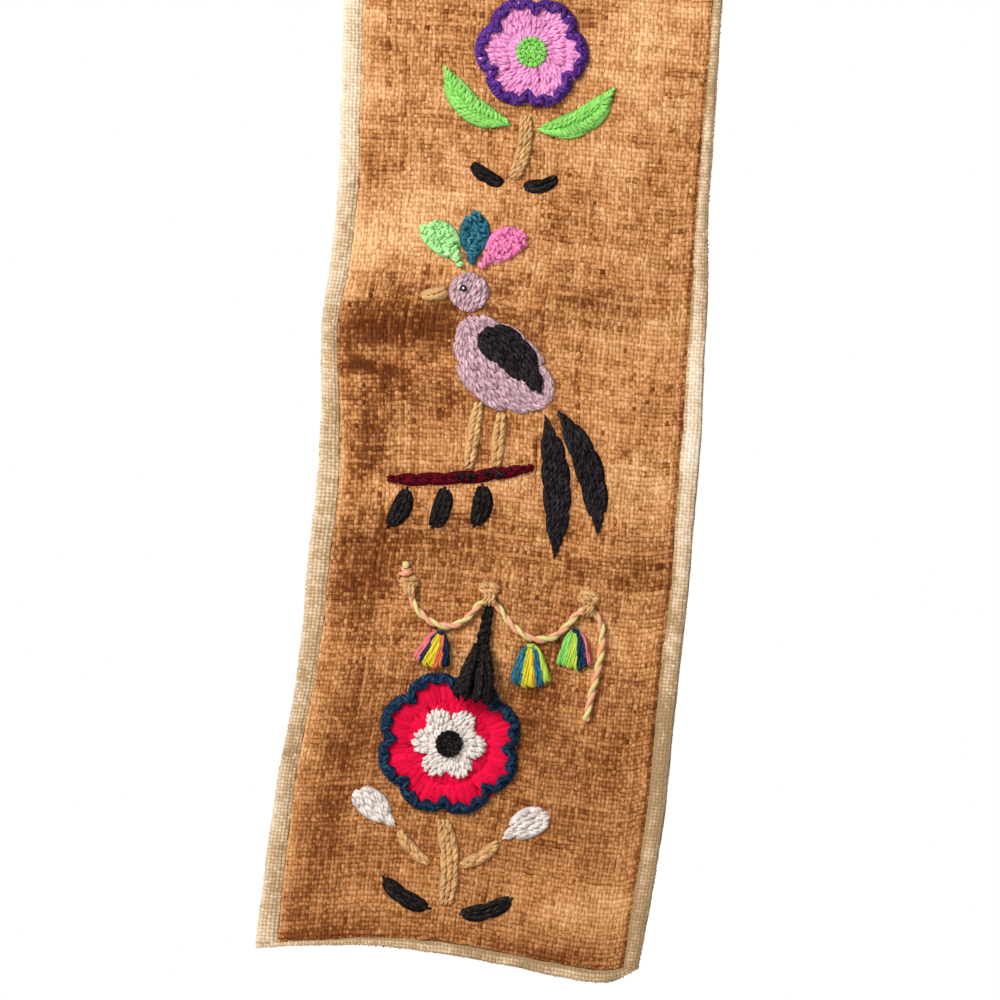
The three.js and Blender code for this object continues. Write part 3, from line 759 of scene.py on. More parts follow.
class Graph:
    """The nodes of a material, or of a world."""

    def __init__(self, name, kind="materials"):
        self.owner = getattr(bpy.data, kind).new(name)
        self.owner.use_nodes = True
        self.tree = self.owner.node_tree
        self.tree.nodes.clear()

    def node(self, kind, options=None, inputs=None):
        """Adds a node: its settings first, then the values or links of its sockets."""
        made = self.tree.nodes.new(kind)
        for name, value in (options or {}).items():
            if name == "stops":
                for k, (position, colour) in enumerate(value):
                    stop = made.color_ramp.elements[k] if k < 2 else made.color_ramp.elements.new(position)
                    stop.position, stop.color = position, (*colour, 1)
            else:
                setattr(made, name, value)
        for name, value in (inputs or {}).items():
            socket = made.inputs[name]
            value = value.socket if isinstance(value, Number) else value
            if isinstance(value, bpy.types.NodeSocket):
                self.tree.links.new(value, socket)
            else:
                socket.default_value = value
        return made

    def attribute(self, name, output="Fac"):
        made = self.node("ShaderNodeAttribute", {"attribute_name": name})
        return Number(self, made.outputs[output]) if output == "Fac" else made.outputs[output]

    def part(self, vector, axis):
        return Number(self, self.node("ShaderNodeSeparateXYZ", None, {0: vector}).outputs[axis])

    def scaled(self, vector, factors):
        made = self.node("ShaderNodeVectorMath", {"operation": "MULTIPLY"}, {0: vector, 1: factors})
        return made.outputs[0]

    def place(self):
        """Object coordinates in millimetres."""
        where = self.node("ShaderNodeTexCoord").outputs["Object"]
        return self.scaled(where, (1 / MM,) * 3)

    def noise(self, vector, scale, detail=2.0, roughness=0.5):
        values = {"Vector": vector, "Scale": scale, "Detail": detail, "Roughness": roughness}
        return Number(self, self.node("ShaderNodeTexNoise", {"noise_dimensions": "3D"}, values).outputs[0])

    def mix(self, factor, first, second):
        """A colour between two colours."""
        first, second = (c if isinstance(c, bpy.types.NodeSocket) else (*c, 1) for c in (first, second))
        made = self.node("ShaderNodeMix", {"data_type": "RGBA"}, {0: factor, 6: first, 7: second})
        return made.outputs[2]

    def ramp(self, number, stops):
        return self.node("ShaderNodeValToRGB", {"stops": stops}, {0: number}).outputs[0]

    def shaded(self, colour, number):
        """A colour made brighter or darker by a number."""
        made = self.node("ShaderNodeVectorMath", {"operation": "SCALE"}, {0: colour, "Scale": number})
        return made.outputs[0]

    def finish(self, colour, height, depth, roughness=0.92):
        """The surface: its colour, and a bump of that depth in millimetres."""
        bump = self.node("ShaderNodeBump", None, {"Strength": 1.0, "Distance": depth * MM, "Height": height})
        values = {"Base Color": colour, "Roughness": roughness, "Specular IOR Level": 0.0,
                  "Normal": bump.outputs[0]}
        surface = self.node("ShaderNodeBsdfPrincipled", None, values)
        self.node("ShaderNodeOutputMaterial", None, {"Surface": surface.outputs[0]})
        return self.owner


def brown_ramp(made, tone):
    cloths = settings("cloth")
    stops = [(0.0, cloths.gap), (0.95, cloths.light), (0.2, cloths.dark), (0.5, cloths.middle)]
    return made.ramp(tone.clipped(), stops)


def thread_pattern(made):
    """A thread's fibre streaks, its swelling between crossings, and how far out on its side a place is."""
    strand = made.attribute("Strand", "Vector")
    fibre = made.noise(made.scaled(strand, (0.8, 6.0, 6.0)), 1.0, 3.0, 0.6)
    pulse = (made.part(strand, 0) * (TURN / BEAT) + math.pi / 2).sine()
    side = made.part(strand, 1) * (1.0 / 0.75)
    return fibre, pulse, side * side


def brown_thread_material():
    """Loosely twisted brown thread, lighter and darker along its length, with fine fibre streaks, a painted
    highlight at each crossing and painted shade on its sides.
    """
    made = Graph("brown_thread")
    fibre, pulse, rounded = thread_pattern(made)
    fluff = made.noise(made.place(), 0.9, 3.0, 0.6)
    # pulse adds a painted highlight at each crossing of the thread
    fibre_and_highlight = (fibre - 0.5) * 0.18 + (fluff - 0.5) * 0.46 + pulse * 0.05
    shading = made.attribute("Tone")
    # the Tone attribute carries stains, fading and painted light and shade; rounded darkens each thread's
    # sides as painted shade
    colour = brown_ramp(made, shading + (fibre_and_highlight - rounded * 0.12 + 0.03) * (shading + 0.5))
    blush = ((made.noise(made.place(), 0.06, 2.0) - 0.5) * 4.0 + 0.5).clipped()
    colour = made.mix(blush, colour, made.scaled(colour, (1.0, 0.975, 0.955)))
    return made.finish(colour, fibre * 0.3 + fluff * 0.5 - rounded * 0.12 + pulse * 0.2, 0.15)


def brown_base_material():
    """The panel's own cloth, seen only deep between its threads, and made darker than them as painted shade
    in those gaps.
    """
    made = Graph("brown_base")
    speck = made.noise(made.place(), 1.4, 2.0)
    # the 0.14 darkening is painted shade in the gaps between the threads
    tone = made.attribute("Tone") + (speck - 0.5) * 0.3 - 0.14
    return made.finish(brown_ramp(made, tone), speck, 0.15, 1.0)


def cream_thread_material():
    """Undyed thread of the backing, soiled here and there, with a painted highlight at each crossing and
    painted shade on its sides.
    """
    made = Graph("cream_thread")
    cloths = settings("cloth")
    fibre, pulse, rounded = thread_pattern(made)
    soil = made.noise(made.place(), 0.11, 3.0, 0.6)
    tone = made.attribute("Tone") + (fibre - 0.5) * 0.3 + (soil - 0.5) * 0.35
    # pulse is a painted highlight at each crossing, rounded painted shade on each thread's sides
    tone = tone + pulse * 0.11 - rounded * 0.12 + 0.03
    shades = (cloths.cream_grey, cloths.cream_light, cloths.cream_dark, cloths.cream)
    colour = made.ramp(tone.clipped(), tuple(zip((0.0, 1.0, 0.18, 0.5), shades)))
    return made.finish(colour, fibre * 0.7 + pulse * 0.3 - rounded * 0.1, 0.13)


def cream_cloth_material():
    """The backing cloth's plain weave, which shows on the rear and between the border's threads."""
    made = Graph("cream_cloth")
    cloths = settings("cloth")
    place = made.place()
    wander = (made.noise(place, 0.16, 2.0) - 0.5) * 2.0
    waves = math.pi / (cloths.border_pitch / MM)
    across, down = ((made.part(place, axis) + wander) * waves for axis in (0, 2))
    checks = across.sine() * down.sine()
    threads = (across * 2.0).sine() * (down * 2.0).sine()
    height = (checks * 0.5 + threads * 0.25 + 0.5).clipped()
    soil = made.noise(place, 0.05, 4.0, 0.6)
    fibre = made.noise(made.scaled(place, (3.0, 3.0, 3.0)), 1.0, 3.0)
    # height makes the raised threads lighter and the hollows between them darker: painted shade in the weave
    tone = height * 0.35 + soil * 0.5 + fibre * 0.25 - 0.02
    stops = ((0.1, cloths.cream_dark), (0.9, cloths.cream_light), (0.5, cloths.cream))
    return made.finish(made.ramp(tone.clipped(), stops), height + fibre * 0.4, 0.3)


def wool_material(yarn):
    """Two-ply wool: flecked with a second colour, streaked along its fibres and softly fuzzy."""
    _, main, second, share = YARNS[yarn]
    made = Graph(yarn + "_yarn")
    strand = made.attribute("Strand", "Vector")
    fibre = made.noise(made.scaled(strand, (0.7, 7.0, 7.0)), 1.0, 3.0, 0.65)
    fleck = made.noise(made.scaled(strand, (0.45, 1.3, 1.3)), 1.0, 3.0, 0.6)
    tone = made.attribute("Tone")
    flecked = ((fleck - 0.5) * 4.0 + (fibre - 0.5) * 1.4 + share).clipped()
    colour = made.mix(flecked, linear(main), linear(second))
    colour = made.shaded(colour, 0.72 + tone * 0.5 + (fibre - 0.5) * 0.5)
    return made.finish(colour, fibre, 0.2)


def wool(yarn):
    return bpy.data.materials.get(yarn + "_yarn") or wool_material(yarn)


# ---------------------------------------------------------------- stitches
class Stitches:
    """Stitches of plied yarn, each from its start through its middle to its end on the cloth."""

    def __init__(self):
        self.rows = []

    def add(self, start, middle, end, width):
        """start, middle and end are (x, z) places."""
        self.rows.append((*start, *middle, *end, width))

    def sew(self, strands, seed, level, pitch, lift=0.0, ripple=0.15, steps=9, flat=0.85, plies=2,
            shade=0.0, vary=0.16, rise=0.5):
        """Sews them all. level is the height of the yarn's seat. It arches over that by rise, a share of its
        width, and by lift. shade makes its tone lighter or darker, and vary sets how far tones differ."""
        rows = np.array(self.rows, float)
        rng = np.random.default_rng(SEED * 100 + seed)
        count = len(rows)
        start, middle, end, width = rows[:, 0:2], rows[:, 2:4], rows[:, 4:6], rows[:, 6]
        t = np.linspace(0, 1, steps)[None, :, None]
        plan = start[:, None] * (1 - t) * (1 - 2 * t) + middle[:, None] * 4 * t * (1 - t)
        plan = plan + end[:, None] * t * (2 * t - 1)
        arch = 1 - np.abs(2 * t[..., 0] - 1) ** 2.4
        high = width * rise + lift + rng.normal(0, ripple, count)
        height = level + high[:, None] * arch - 0.25 * (1 - arch)
        points, out = lay(plan[..., 0], plan[..., 1], height)
        tone = 0.5 + shade + rng.normal(0, vary, count)
        thick = width[:, None] * (0.62 + 0.38 * arch) * rng.uniform(0.9, 1.1, (count, 1))
        phase = rng.uniform(0, TURN, count)
        strands.twist(rng, points, out, thick, pitch, phase, 5, tone[:, None], flat, (0,) * plies)
        return count


def blade_length(blade):
    return np.hypot(blade.x1 - blade.x0, blade.z1 - blade.z0)


def blade_parts(blade):
    """A blade's middle line and half width as functions of t, and its sideways direction."""
    base = np.array([blade.x0, blade.z0], float)
    run = np.array([blade.x1, blade.z1]) - base
    side = np.array([-run[1], run[0]]) / np.linalg.norm(run)
    skew, fullness = FORMS[blade.form]

    def middle(t):
        t = np.asarray(t, float)[..., None]
        return base + run * t + side * blade.bend * 4 * t * (1 - t)

    def half(t):
        return blade.width / 2 * np.sin(np.pi * np.clip(t, 0, 1) ** skew) ** fullness

    return middle, half, side


def cut_row(stitches, path, width, length, shift, rng):
    """Cuts a path into stitches that overlap a little. shift moves the joins along, as bricks do."""
    along = np.concatenate([[0], np.cumsum(np.linalg.norm(np.diff(path, axis=0), axis=1))])
    total = along[-1]
    count = max(1, round(total / length))
    joins = (np.arange(count + 1) + shift) / count * total
    if shift:
        joins = np.concatenate([[0], joins[:-1], [total]])
    joins[1:-1] += rng.normal(0, 0.5, len(joins) - 2)
    shortest, overlap = 1.4, 0.35

    def at(s):
        return [float(np.interp(s, along, path[:, k])) for k in (0, 1)]

    for a, b in zip(joins[:-1], joins[1:]):
        if b - a < shortest:
            continue
        a, b = max(a - overlap, 0), min(b + overlap, total)
        middle = (a + b) / 2
        stitches.add(at(a), at(middle), at(b), float(np.interp(middle, along, width)))


def fill_rows(blade, stitches, spacing, rng, length=None, trim=0.01):
    """Rows of stitches that follow the blade's two sides, short of its ends by trim."""
    length = length or settings("yarn").stitch / MM
    middle, half, side = blade_parts(blade)
    rows = max(1, round(blade.width / spacing))
    for k in range(rows):
        share = (2 * k + 1) / rows - 1
        t = np.linspace(trim, 1 - trim, 80)
        fullness = half(t) / (blade.width / 2)
        offset = share * (0.15 + 0.85 * fullness)
        inside = fullness - np.abs(offset) > 0.03 + rng.uniform(0, 0.03)
        t, fullness, offset = t[inside], fullness[inside], offset[inside]
        if len(t) < 4:
            continue
        gap = spacing * (0.45 + 0.55 * fullness)
        path = middle(t) + (offset * blade.width / 2)[:, None] * side
        cut_row(stitches, path, gap * 1.3, length * rng.uniform(0.9, 1.12), 0.5 * (k % 2), rng)


def fill_knotty(blade, stitches, spacing, rng):
    """Short fat stitches heaped at all angles, for a bumpy field."""
    middle, half, side = blade_parts(blade)
    size = blade_length(blade)
    run = np.array([blade.x1 - blade.x0, blade.z1 - blade.z0]) / size
    levels = round(size / (spacing * 0.95))
    for level in range(levels):
        t = (level + 0.5) / levels
        wide = float(half(t)) - spacing * 0.3
        count = max(1, round(2 * wide / (spacing * 1.05)))
        shift = 0.3 * (level % 2 * 2 - 1) * (count > 1)
        for k in range(count):
            share = ((k + 0.5 + shift) / count * 2 - 1) * 0.94
            place = middle(t) + side * share * max(wide, 0) + rng.normal(0, 0.2, 2)
            angle = rng.uniform(-1.0, 1.0)
            way = (side * math.cos(angle) + run * math.sin(angle)) * spacing * rng.uniform(0.55, 0.8)
            bulge = place + rng.normal(0, 0.2, 2)
            stitches.add(place - way, bulge, place + way, spacing * rng.uniform(1.15, 1.4))


def fill_fishbone(blade, stitches, spacing, rng):
    """Slanting stitches from the blade's midrib out to its two sides."""
    middle, half, side = blade_parts(blade)
    size = blade_length(blade)
    count = round(size / (spacing * 1.12))
    reach = 0.17 * min(1, 30 / size * 1.1)
    for k in range(count):
        t = (k + 0.3) / count * 0.86
        for hand in (-1, 1):
            t0 = t + (0.4 / count if hand > 0 else 0)
            t1 = min(t0 + reach * rng.uniform(0.9, 1.1), 0.99)
            width = float(half(t1)) * 0.97
            if width < 1.0:
                continue
            start = middle(t0) - side * hand * 0.5
            end = middle(t1) + side * hand * width
            bulge = (start + end) / 2 + side * hand * 0.25
            stitches.add(start, bulge, end, spacing * 1.25)
    tip = [middle(t) for t in (0.8, 0.9, 0.995)]
    stitches.add(*tip, spacing * 1.1)


def fill_straight(blade, stitches, spacing, rng):
    """A few long straight stitches side by side, as on a slim leaf."""
    middle, half, side = blade_parts(blade)
    rows = max(2, round(blade.width / spacing))
    for k in range(rows):
        share = (2 * k + 1) / rows - 1
        t = np.array([0.03 + 0.1 * abs(share), 0.5, 0.97 - 0.12 * abs(share)]) + rng.normal(0, 0.012, 3)
        start, bulge, end = middle(t) + (share * half(t) * 0.9)[:, None] * side
        stitches.add(start, bulge, end, spacing * 1.3)


def seat_of(layer):
    """How high the yarn of a layer sits over the cloth."""
    return WOOL_LIFT + LAYER_HEIGHT * (layer - 1)


# Each way to fill a blade: its function, its rows' spacing as a share of the yarn, how unevenly its
# stitches stand, and their rise as a share of the yarn.
FILLS = {
    "rows": (fill_rows, 0.9, 0.16, 0.5),
    "knotty": (fill_knotty, 0.86, 0.34, 0.66),
    "fishbone": (fill_fishbone, 0.88, 0.14, 0.5),
    "straight": (fill_straight, 0.92, 0.14, 0.5),
}


def lay_under(strands, under, seed, level):
    """Low flat padding stitches, which fill the field under its yarn, made darker as painted shade in the
    gaps between its stitches.
    """
    under.rows = [(*row[:6], row[6] * 1.4) for row in under.rows]
    # shade -0.3 darkens the padding: painted shade where it shows between the stitches
    flatly = {"ripple": 0.04, "steps": 6, "flat": 0.4, "plies": 1, "shade": -0.3, "rise": 0.1}
    under.sew(strands, seed + 50, level + 0.16, 9.0, **flatly)


def loose_fibres(stitch_count):
    return round(stitch_count * settings("yarn").fibres / 20)


def wool_piece(strands, yarn, node):
    """Finishes a piece of one yarn, which stands for a CAD node."""
    strands.piece(node + "_wool", [wool(yarn)], YARNS[yarn][0], node)


def sew_blade(blade, seed):
    yarn = settings("yarn")
    rng = np.random.default_rng(SEED * 500 + seed)
    fill, share, ripple, rise = FILLS[blade.fill]
    stitches, under, strands = Stitches(), Stitches(), Strands()
    fill(blade, stitches, share * yarn.thickness / MM, rng)
    fill_rows(blade, under, 2.2, np.random.default_rng(SEED * 550 + seed), length=12, trim=0.09)
    lay_under(strands, under, seed, seat_of(blade.layer))
    count = stitches.sew(strands, seed, seat_of(blade.layer), yarn.twist / MM, ripple=ripple, rise=rise)
    strands.fuzz(rng, loose_fibres(count))
    wool_piece(strands, blade.yarn, blade.name)


# ---------------------------------------------------------------- blooms
def scallop(radius, petals, notch, angle):
    """A scalloped rim's distance from the middle."""
    return radius - notch * (1 - np.abs(np.sin(petals * angle / 2)) ** PETAL_ROUNDNESS)


def rim_of(bloom):
    """The bloom's scalloped rim as a function of the angle."""
    return partial(scallop, bloom.radius, bloom.petals, bloom.notch)


def polar(bloom, angle, distance):
    return (bloom.x + distance * math.sin(angle), bloom.z + distance * math.cos(angle))


def radial_rings(bloom, bands, rim, width, rng, ragged=0.7):
    """Rings of stitches that point away from the bloom's middle, each from low to high or to the rim."""
    stitches = Stitches()
    for low, high in bands:
        count = round(TURN * (0.38 * low + 0.62 * high) / (width * 0.8))
        for k in range(count):
            angle = TURN * (k + rng.uniform(-0.12, 0.12)) / count
            reach = float(rim(angle)) - 0.4
            a = min(low + rng.uniform(-ragged, ragged), reach - 2.5)
            b = min(high + rng.uniform(-ragged, ragged), reach)
            lean = rng.normal(0, 0.02)
            middle = polar(bloom, angle + lean, (a + b) / 2)
            stitches.add(polar(bloom, angle, a), middle, polar(bloom, angle + lean, b), width)
    return stitches


def sew_field(node, yarn, stitches, under, seed, level, pitch, **manner):
    """Sews stitches over their padding."""
    strands = Strands()
    lay_under(strands, under, seed, level)
    count = stitches.sew(strands, seed, level, pitch, **manner)
    strands.fuzz(np.random.default_rng(SEED * 700 + seed), loose_fibres(count))
    wool_piece(strands, yarn, node)


def sew_edging(bloom, seed):
    """Fat stitches to and fro between the rim and the field, point to point, on a band of short ones."""
    yarn = settings("yarn")
    rim = rim_of(bloom)
    points = []
    for k in range(bloom.teeth * 2):
        angle = math.pi * k / bloom.teeth
        points.append((angle, float(rim(angle)) - EDGING_INSET + (EDGING_SWING if k % 2 else -EDGING_SWING)))
    stitches, band, strands = Stitches(), Stitches(), Strands()
    for (a0, r0), (a1, r1) in zip(points, points[1:] + [(TURN, points[0][1])]):
        extra = 0.06 * (a1 - a0)
        start, end = polar(bloom, a0 - extra, r0), polar(bloom, a1 + extra, r1)
        stitches.add(start, polar(bloom, (a0 + a1) / 2, (r0 + r1) / 2), end, yarn.edging / MM)
        for share in (0.17, 0.5, 0.83):
            angle, inner = a0 + (a1 - a0) * share, r0 + (r1 - r0) * share
            outer = float(rim(angle)) + 0.1
            band.add(*(polar(bloom, angle, r) for r in (inner - 0.5, (inner + outer) / 2, outer)), 1.9)
    level = seat_of(2) - 0.7
    band.sew(strands, seed + 40, level - 0.3, yarn.twist / MM, rise=0.35)
    count = stitches.sew(strands, seed, level, 6.5, ripple=0.12, steps=10)
    strands.fuzz(np.random.default_rng(SEED * 700 + seed), loose_fibres(count))
    wool_piece(strands, bloom.edging, bloom.name + "_edging")


def knot_coils(strands, places, size, level, seed):
    """French knots: short coils of yarn, each wound about once and a half round its own middle."""
    rng = np.random.default_rng(SEED * 900 + seed)
    places = np.array(places, float)
    count, winds = len(places), 1.6
    t = np.linspace(0, 1, 14)
    angle = rng.uniform(0, TURN, (count, 1)) + TURN * winds * t
    reach = size * (0.3 - 0.2 * t**3)
    x = places[:, 0:1] + reach * np.cos(angle)
    z = places[:, 1:2] + reach * np.sin(angle)
    points, out = lay(x, z, level + size * (0.15 + 0.5 * t) + rng.normal(0, 0.1, (count, 1)))
    tone = 0.5 + rng.normal(0, 0.14, (count, 1))
    taper = np.minimum(1, 0.5 + 3 * np.minimum(t, 1 - t))
    strands.add(rng, points, out, size * 0.3 * taper[None], 5, tone)


def sew_eye(bloom, seed):
    """The bloom's eye: French knots packed in rings."""
    size = 2.1
    rings = max(1, round(bloom.eye_radius / size))
    places = []
    for ring in range(rings + 1):
        distance = (bloom.eye_radius - size * 0.4) * ring / rings
        count = max(1, round(TURN * distance / (size * 0.92)))
        places += [polar(bloom, TURN * (k + 0.5 * (ring % 2)) / count, distance) for k in range(count)]
    strands = Strands()
    seat = seat_of(3 if bloom.yarn == "crimson" else 2)
    knot_coils(strands, places, size, seat - 0.5, seed)
    knot_coils(strands, places, size * 0.85, seat - 1.2, seed + 1)
    strands.fuzz(np.random.default_rng(seed), 40)
    wool_piece(strands, bloom.eye, bloom.name + "_eye")


def sew_pink_bloom(bloom, seed):
    """Rings of plied stitches."""
    yarn = settings("yarn")
    rng = np.random.default_rng(SEED * 600 + seed)
    rim, bands = rim_of(bloom), ((4.5, 10), (9.2, 15), (14.2, 19.5), (17.5, 24))
    stitches = radial_rings(bloom, bands, rim, yarn.thickness / MM * 1.08, rng)
    under = radial_rings(bloom, ((3, 13), (12, 22.4)), rim, 2.8, rng)
    sew_field(bloom.name, bloom.yarn, stitches, under, seed, seat_of(1), yarn.twist / MM)


def sew_crimson_bloom(bloom, seed):
    """Long flat satin stitches in fine yarn, with a white star sewn over their inner ends."""
    yarn = settings("yarn")
    rng = np.random.default_rng(SEED * 600 + seed)
    rim, star_rim = rim_of(bloom), partial(scallop, STAR_RADIUS, STAR_PETALS, STAR_NOTCH)
    bands, star_bands = ((7.5, 17), (15.5, 23.5), (21.5, 30)), ((3.4, 8.4), (7.6, 12.4), (11.2, 16))
    satin = radial_rings(bloom, bands, rim, yarn.satin / MM * 1.15, rng, 1.6)
    under = radial_rings(bloom, ((6, 18), (16, 28.4)), rim, 2.8, rng)
    star_under = radial_rings(bloom, ((2.5, 13),), star_rim, 2.6, rng)
    star = radial_rings(bloom, star_bands, star_rim, yarn.thickness / MM * 1.08, rng)
    smoothly = {"steps": 7, "ripple": 0.05, "flat": 0.5, "vary": 0.06}
    sew_field(bloom.name, bloom.yarn, satin, under, seed, seat_of(1) + 0.3, 9.0, **smoothly)
    level = seat_of(2) - 0.5
    sew_field(bloom.name + "_inner", "white", star, star_under, seed + 1, level, yarn.twist / MM)


# ---------------------------------------------------------------- cloths
def map_grid(mesh, columns, rows, place):
    """A grid of cells whose points go where place(u, v) says, for shares u across and v down."""
    points = bmesh.ops.create_grid(mesh, x_segments=columns, y_segments=rows, size=0.5)["verts"]
    share = np.array([(p.co.x + 0.5, 0.5 - p.co.y) for p in points])
    for point, where in zip(points, place(share[:, 0], share[:, 1])):
        point.co = Vector(where) * MM


def turned_edge(x, z):
    """How far the panel's cloth curves back as it turns under at its own seams."""
    near = np.minimum.reduce([
        x - edge("seam", "left", z),
        edge("seam", "right", z) - x,
        -TOP_BORDER - z,
        z - edge("seam", "bottom", x),
    ])
    inside = np.clip(near / HEM_WIDTH, 0, 1)
    return HEM_DROP * (1 - np.sqrt(1 - (1 - inside) ** 2))


def pressed(x, z):
    """How far the blooms' stitches press the threads under them down."""
    return sum(PRESSED * smooth((b.radius - 3 - np.hypot(x - b.x, z - b.z)) / 2) for b in BLOOMS)


def to_mesh_object(mesh, name, smooth_faces=True):
    data = bpy.data.meshes.new(name)
    mesh.to_mesh(data)
    mesh.free()
    for face in data.polygons:
        face.use_smooth = smooth_faces
    return bpy.data.objects.new(name, data)


def make_panel_sheet():
    """A thin sheet on the folds, under the panel's threads."""
    mesh = bmesh.new()

    def place(u, v):
        x, z = spread("seam", u, v)
        return lay(x, z, SHEET_LIFT - turned_edge(x, z))[0]

    map_grid(mesh, 60, 180, place)
    bmesh.ops.recalc_face_normals(mesh, faces=mesh.faces)
    bmesh.ops.solidify(mesh, geom=mesh.faces, thickness=SHEET_THICKNESS * MM)
    bmesh.ops.recalc_face_normals(mesh, faces=mesh.faces)
    sheet = to_mesh_object(mesh, "panel_cloth")
    where = np.empty(len(sheet.data.vertices) * 3)
    sheet.data.vertices.foreach_get("co", where)
    x, _, z = where.reshape(-1, 3).T / MM
    sheet.data.attributes.new("Tone", "FLOAT", "POINT").data.foreach_set("value", brown_tone(x, z))
    add_bake_map(sheet.data)
    return finish_piece(sheet, [brown_base_material()], "brown_cloth", "front_panel")


def weave_panel():
    """The panel: a sheet on the folds, and the threads woven over it."""
    sheet = make_panel_sheet()
    cloths = settings("cloth")
    warps, wefts = cloths.warp_count, cloths.weft_count
    thread, crimp = cloths.thread / MM, cloths.crimp / MM
    i, j = np.meshgrid(np.arange(warps), np.arange(wefts), indexing="ij")
    rng = np.random.default_rng(SEED)
    uneven = [np.clip(rng.normal(0, 0.13, n), -0.3, 0.3) for n in (warps, wefts)]
    x, z = spread("seam", (i + 0.5 + uneven[0][i]) / warps, (j + 0.5 + uneven[1][j]) / wefts)
    x = x + 0.9 * drift(x, z, 14, 11) + 0.7 * drift(i * 9.0, z, 5, 12)
    x = x + rng.normal(0, 0.15, x.shape)
    z = z + 1.2 * drift(x, z, 16, 13) + 0.8 * drift(x, j * 9.0, 5, 14)
    z = z + rng.normal(0, 0.19, x.shape)
    over = np.where((i + j) % 2, 1.0, -1.0)
    material = brown_thread_material()
    for name, hand, lines, swap in (("warp_threads", 1, warps, False), ("weft_threads", -1, wefts, True)):
        index, run = (j, x) if swap else (i, z)
        slub = noise(index * 7.0, run, 4.5, 21 + swap)
        own = rng.normal(0, 0.06, lines)[index]
        along = (0.18 if swap else 0.24) * drift(index * 7.0, run, 5, 31 + swap)
        speck = rng.normal(0, 0.07, index.shape) - 0.24 * (rng.random(index.shape) < 0.03)
        # 0.03 * over * hand: lighter where a thread lies on top, darker where it dips under: painted light
        #                     and shade
        tone = brown_tone(x, z) + (own + along + speck) * calm(z) + 0.03 * over * hand
        thick = 0.76 + 0.48 * slub + 0.07 * rng.normal(0, 1, lines)[index]
        half = thread / 2 * (1.32 if swap else 1) * thick * rng.uniform(0.84, 1.16, index.shape)
        ripple = 0.1 * drift(x, z, 5, 41)
        lift = hand * over * crimp + THREAD_LIFT - turned_edge(x, z) + ripple - pressed(x, z)
        points, out = lay(x, z, lift)
        if swap:
            points, out, half, tone = (np.swapaxes(a, 0, 1) for a in (points, out, half, tone))
            first, last = (points[:, a] * 1.2 - points[:, b] * 0.2 for a, b in ((0, 1), (-1, -2)))
            points = np.concatenate([first[:, None], points[:, 1:-1], last[:, None]], 1)
        flat, lean = (0.58, 0.4) if swap else (0.8, 0.8)
        strands = Strands()
        strands.add(rng, points, out, half, 3, tone, flat, beat=BEAT, lean=lean)
        strands.piece(name, [material], "brown_cloth")


def roll(share):
    """Lift of the rolled border over the panel's face, at a share of the way to the outer edge."""
    crest = np.clip(1 - np.abs((share - 0.5) / 0.54) ** 2.6, 0, 1) ** 0.5
    return ROLL_LIFT + ROLL_HEIGHT * crest


def border_front(x, z):
    """Lift of the backing's front over the panel's face: a pocket under the panel, then the rolled border."""
    share = border_share(x, z)
    pucker = 0.35 * drift(x, z, 6, 51) * smooth(share * 3)
    pocket = POCKET_LIFT + POCKET_RISE * smooth(1 + share * 5)
    return np.where(share < 0, pocket, roll(share)) + pucker


def border_rear(x, z):
    """Lift of the backing's rear over the panel's face, higher towards the outer edge."""
    return REAR_LIFT + REAR_RISE * smooth((border_share(x, z) - 0.55) / 0.45)


def crowd(t):
    """Shares from 0 to 1, crowded towards both ends."""
    strength = 0.86
    return (1 - strength) * t + strength * (0.5 - 0.5 * np.cos(np.pi * t))


def make_backing():
    """The backing: a sheet with a pocket for the panel and its edges rolled to the front."""
    mesh = bmesh.new()

    def place(lift, u, v):
        x, z = spread("outer", crowd(u), crowd(v), -0.12)
        return lay(x, z, lift(x, z))[0]

    for lift in (border_front, border_rear):
        map_grid(mesh, 72, 150, partial(place, lift))
    bmesh.ops.bridge_loops(mesh, edges=[e for e in mesh.edges if e.is_boundary])
    bmesh.ops.recalc_face_normals(mesh, faces=mesh.faces)
    sheet = to_mesh_object(mesh, "backing_cloth")
    add_bake_map(sheet.data, split_back=True)
    finish_piece(sheet, [cream_cloth_material()], "cream_cloth", "backing")
    borders = [weave_border(side) for side in ("left", "right", "top", "bottom")]


def border_places(side, pitch):
    """Where the threads that wrap one side start along it, and the seam and the outer edge there."""
    if side in ("left", "right"):
        low = float(edge("seam", "bottom", edge("seam", side, -460.0)))
        at = np.arange(-TOP_BORDER - 0.5, low, -pitch)
        return at, edge("seam", side, at), edge("outer", side, at)
    first, last = (float(edge("outer", s, 0.0 if side == "top" else -466.0)) for s in ("left", "right"))
    at = np.arange(first + 0.8, last - 0.6, pitch)
    if side == "top":
        return at, np.full(len(at), -TOP_BORDER), np.zeros(len(at))
    return at, edge("seam", "bottom", at), edge("outer", "bottom", at)


def lay_rim(strands, side, count, rng):
    """One round strand along a side's outer rim."""
    t = np.linspace(0, 1, count)
    u, v = {"left": (0 * t, t), "right": (0 * t + 1, t), "top": (t, 0 * t), "bottom": (t, 0 * t + 1)}[side]
    x, z = spread("outer", u, v, -0.62)
    x, z = x + 0.3 * drift(x, z, 8, 63), z + 0.3 * drift(x, z, 8, 64)
    points, out = lay(x, z, -0.98 + 0.2 * drift(x, z, 5, 65))
    half, tone = 0.62 + 0.26 * noise(x, z, 3.5, 66), cream_tone(x, z) + rng.normal(0, 0.12, x.shape)
    strands.add(rng, points[None], out[None], half[None], 8, tone[None], beat=BEAT * 0.6, lean=1.0)


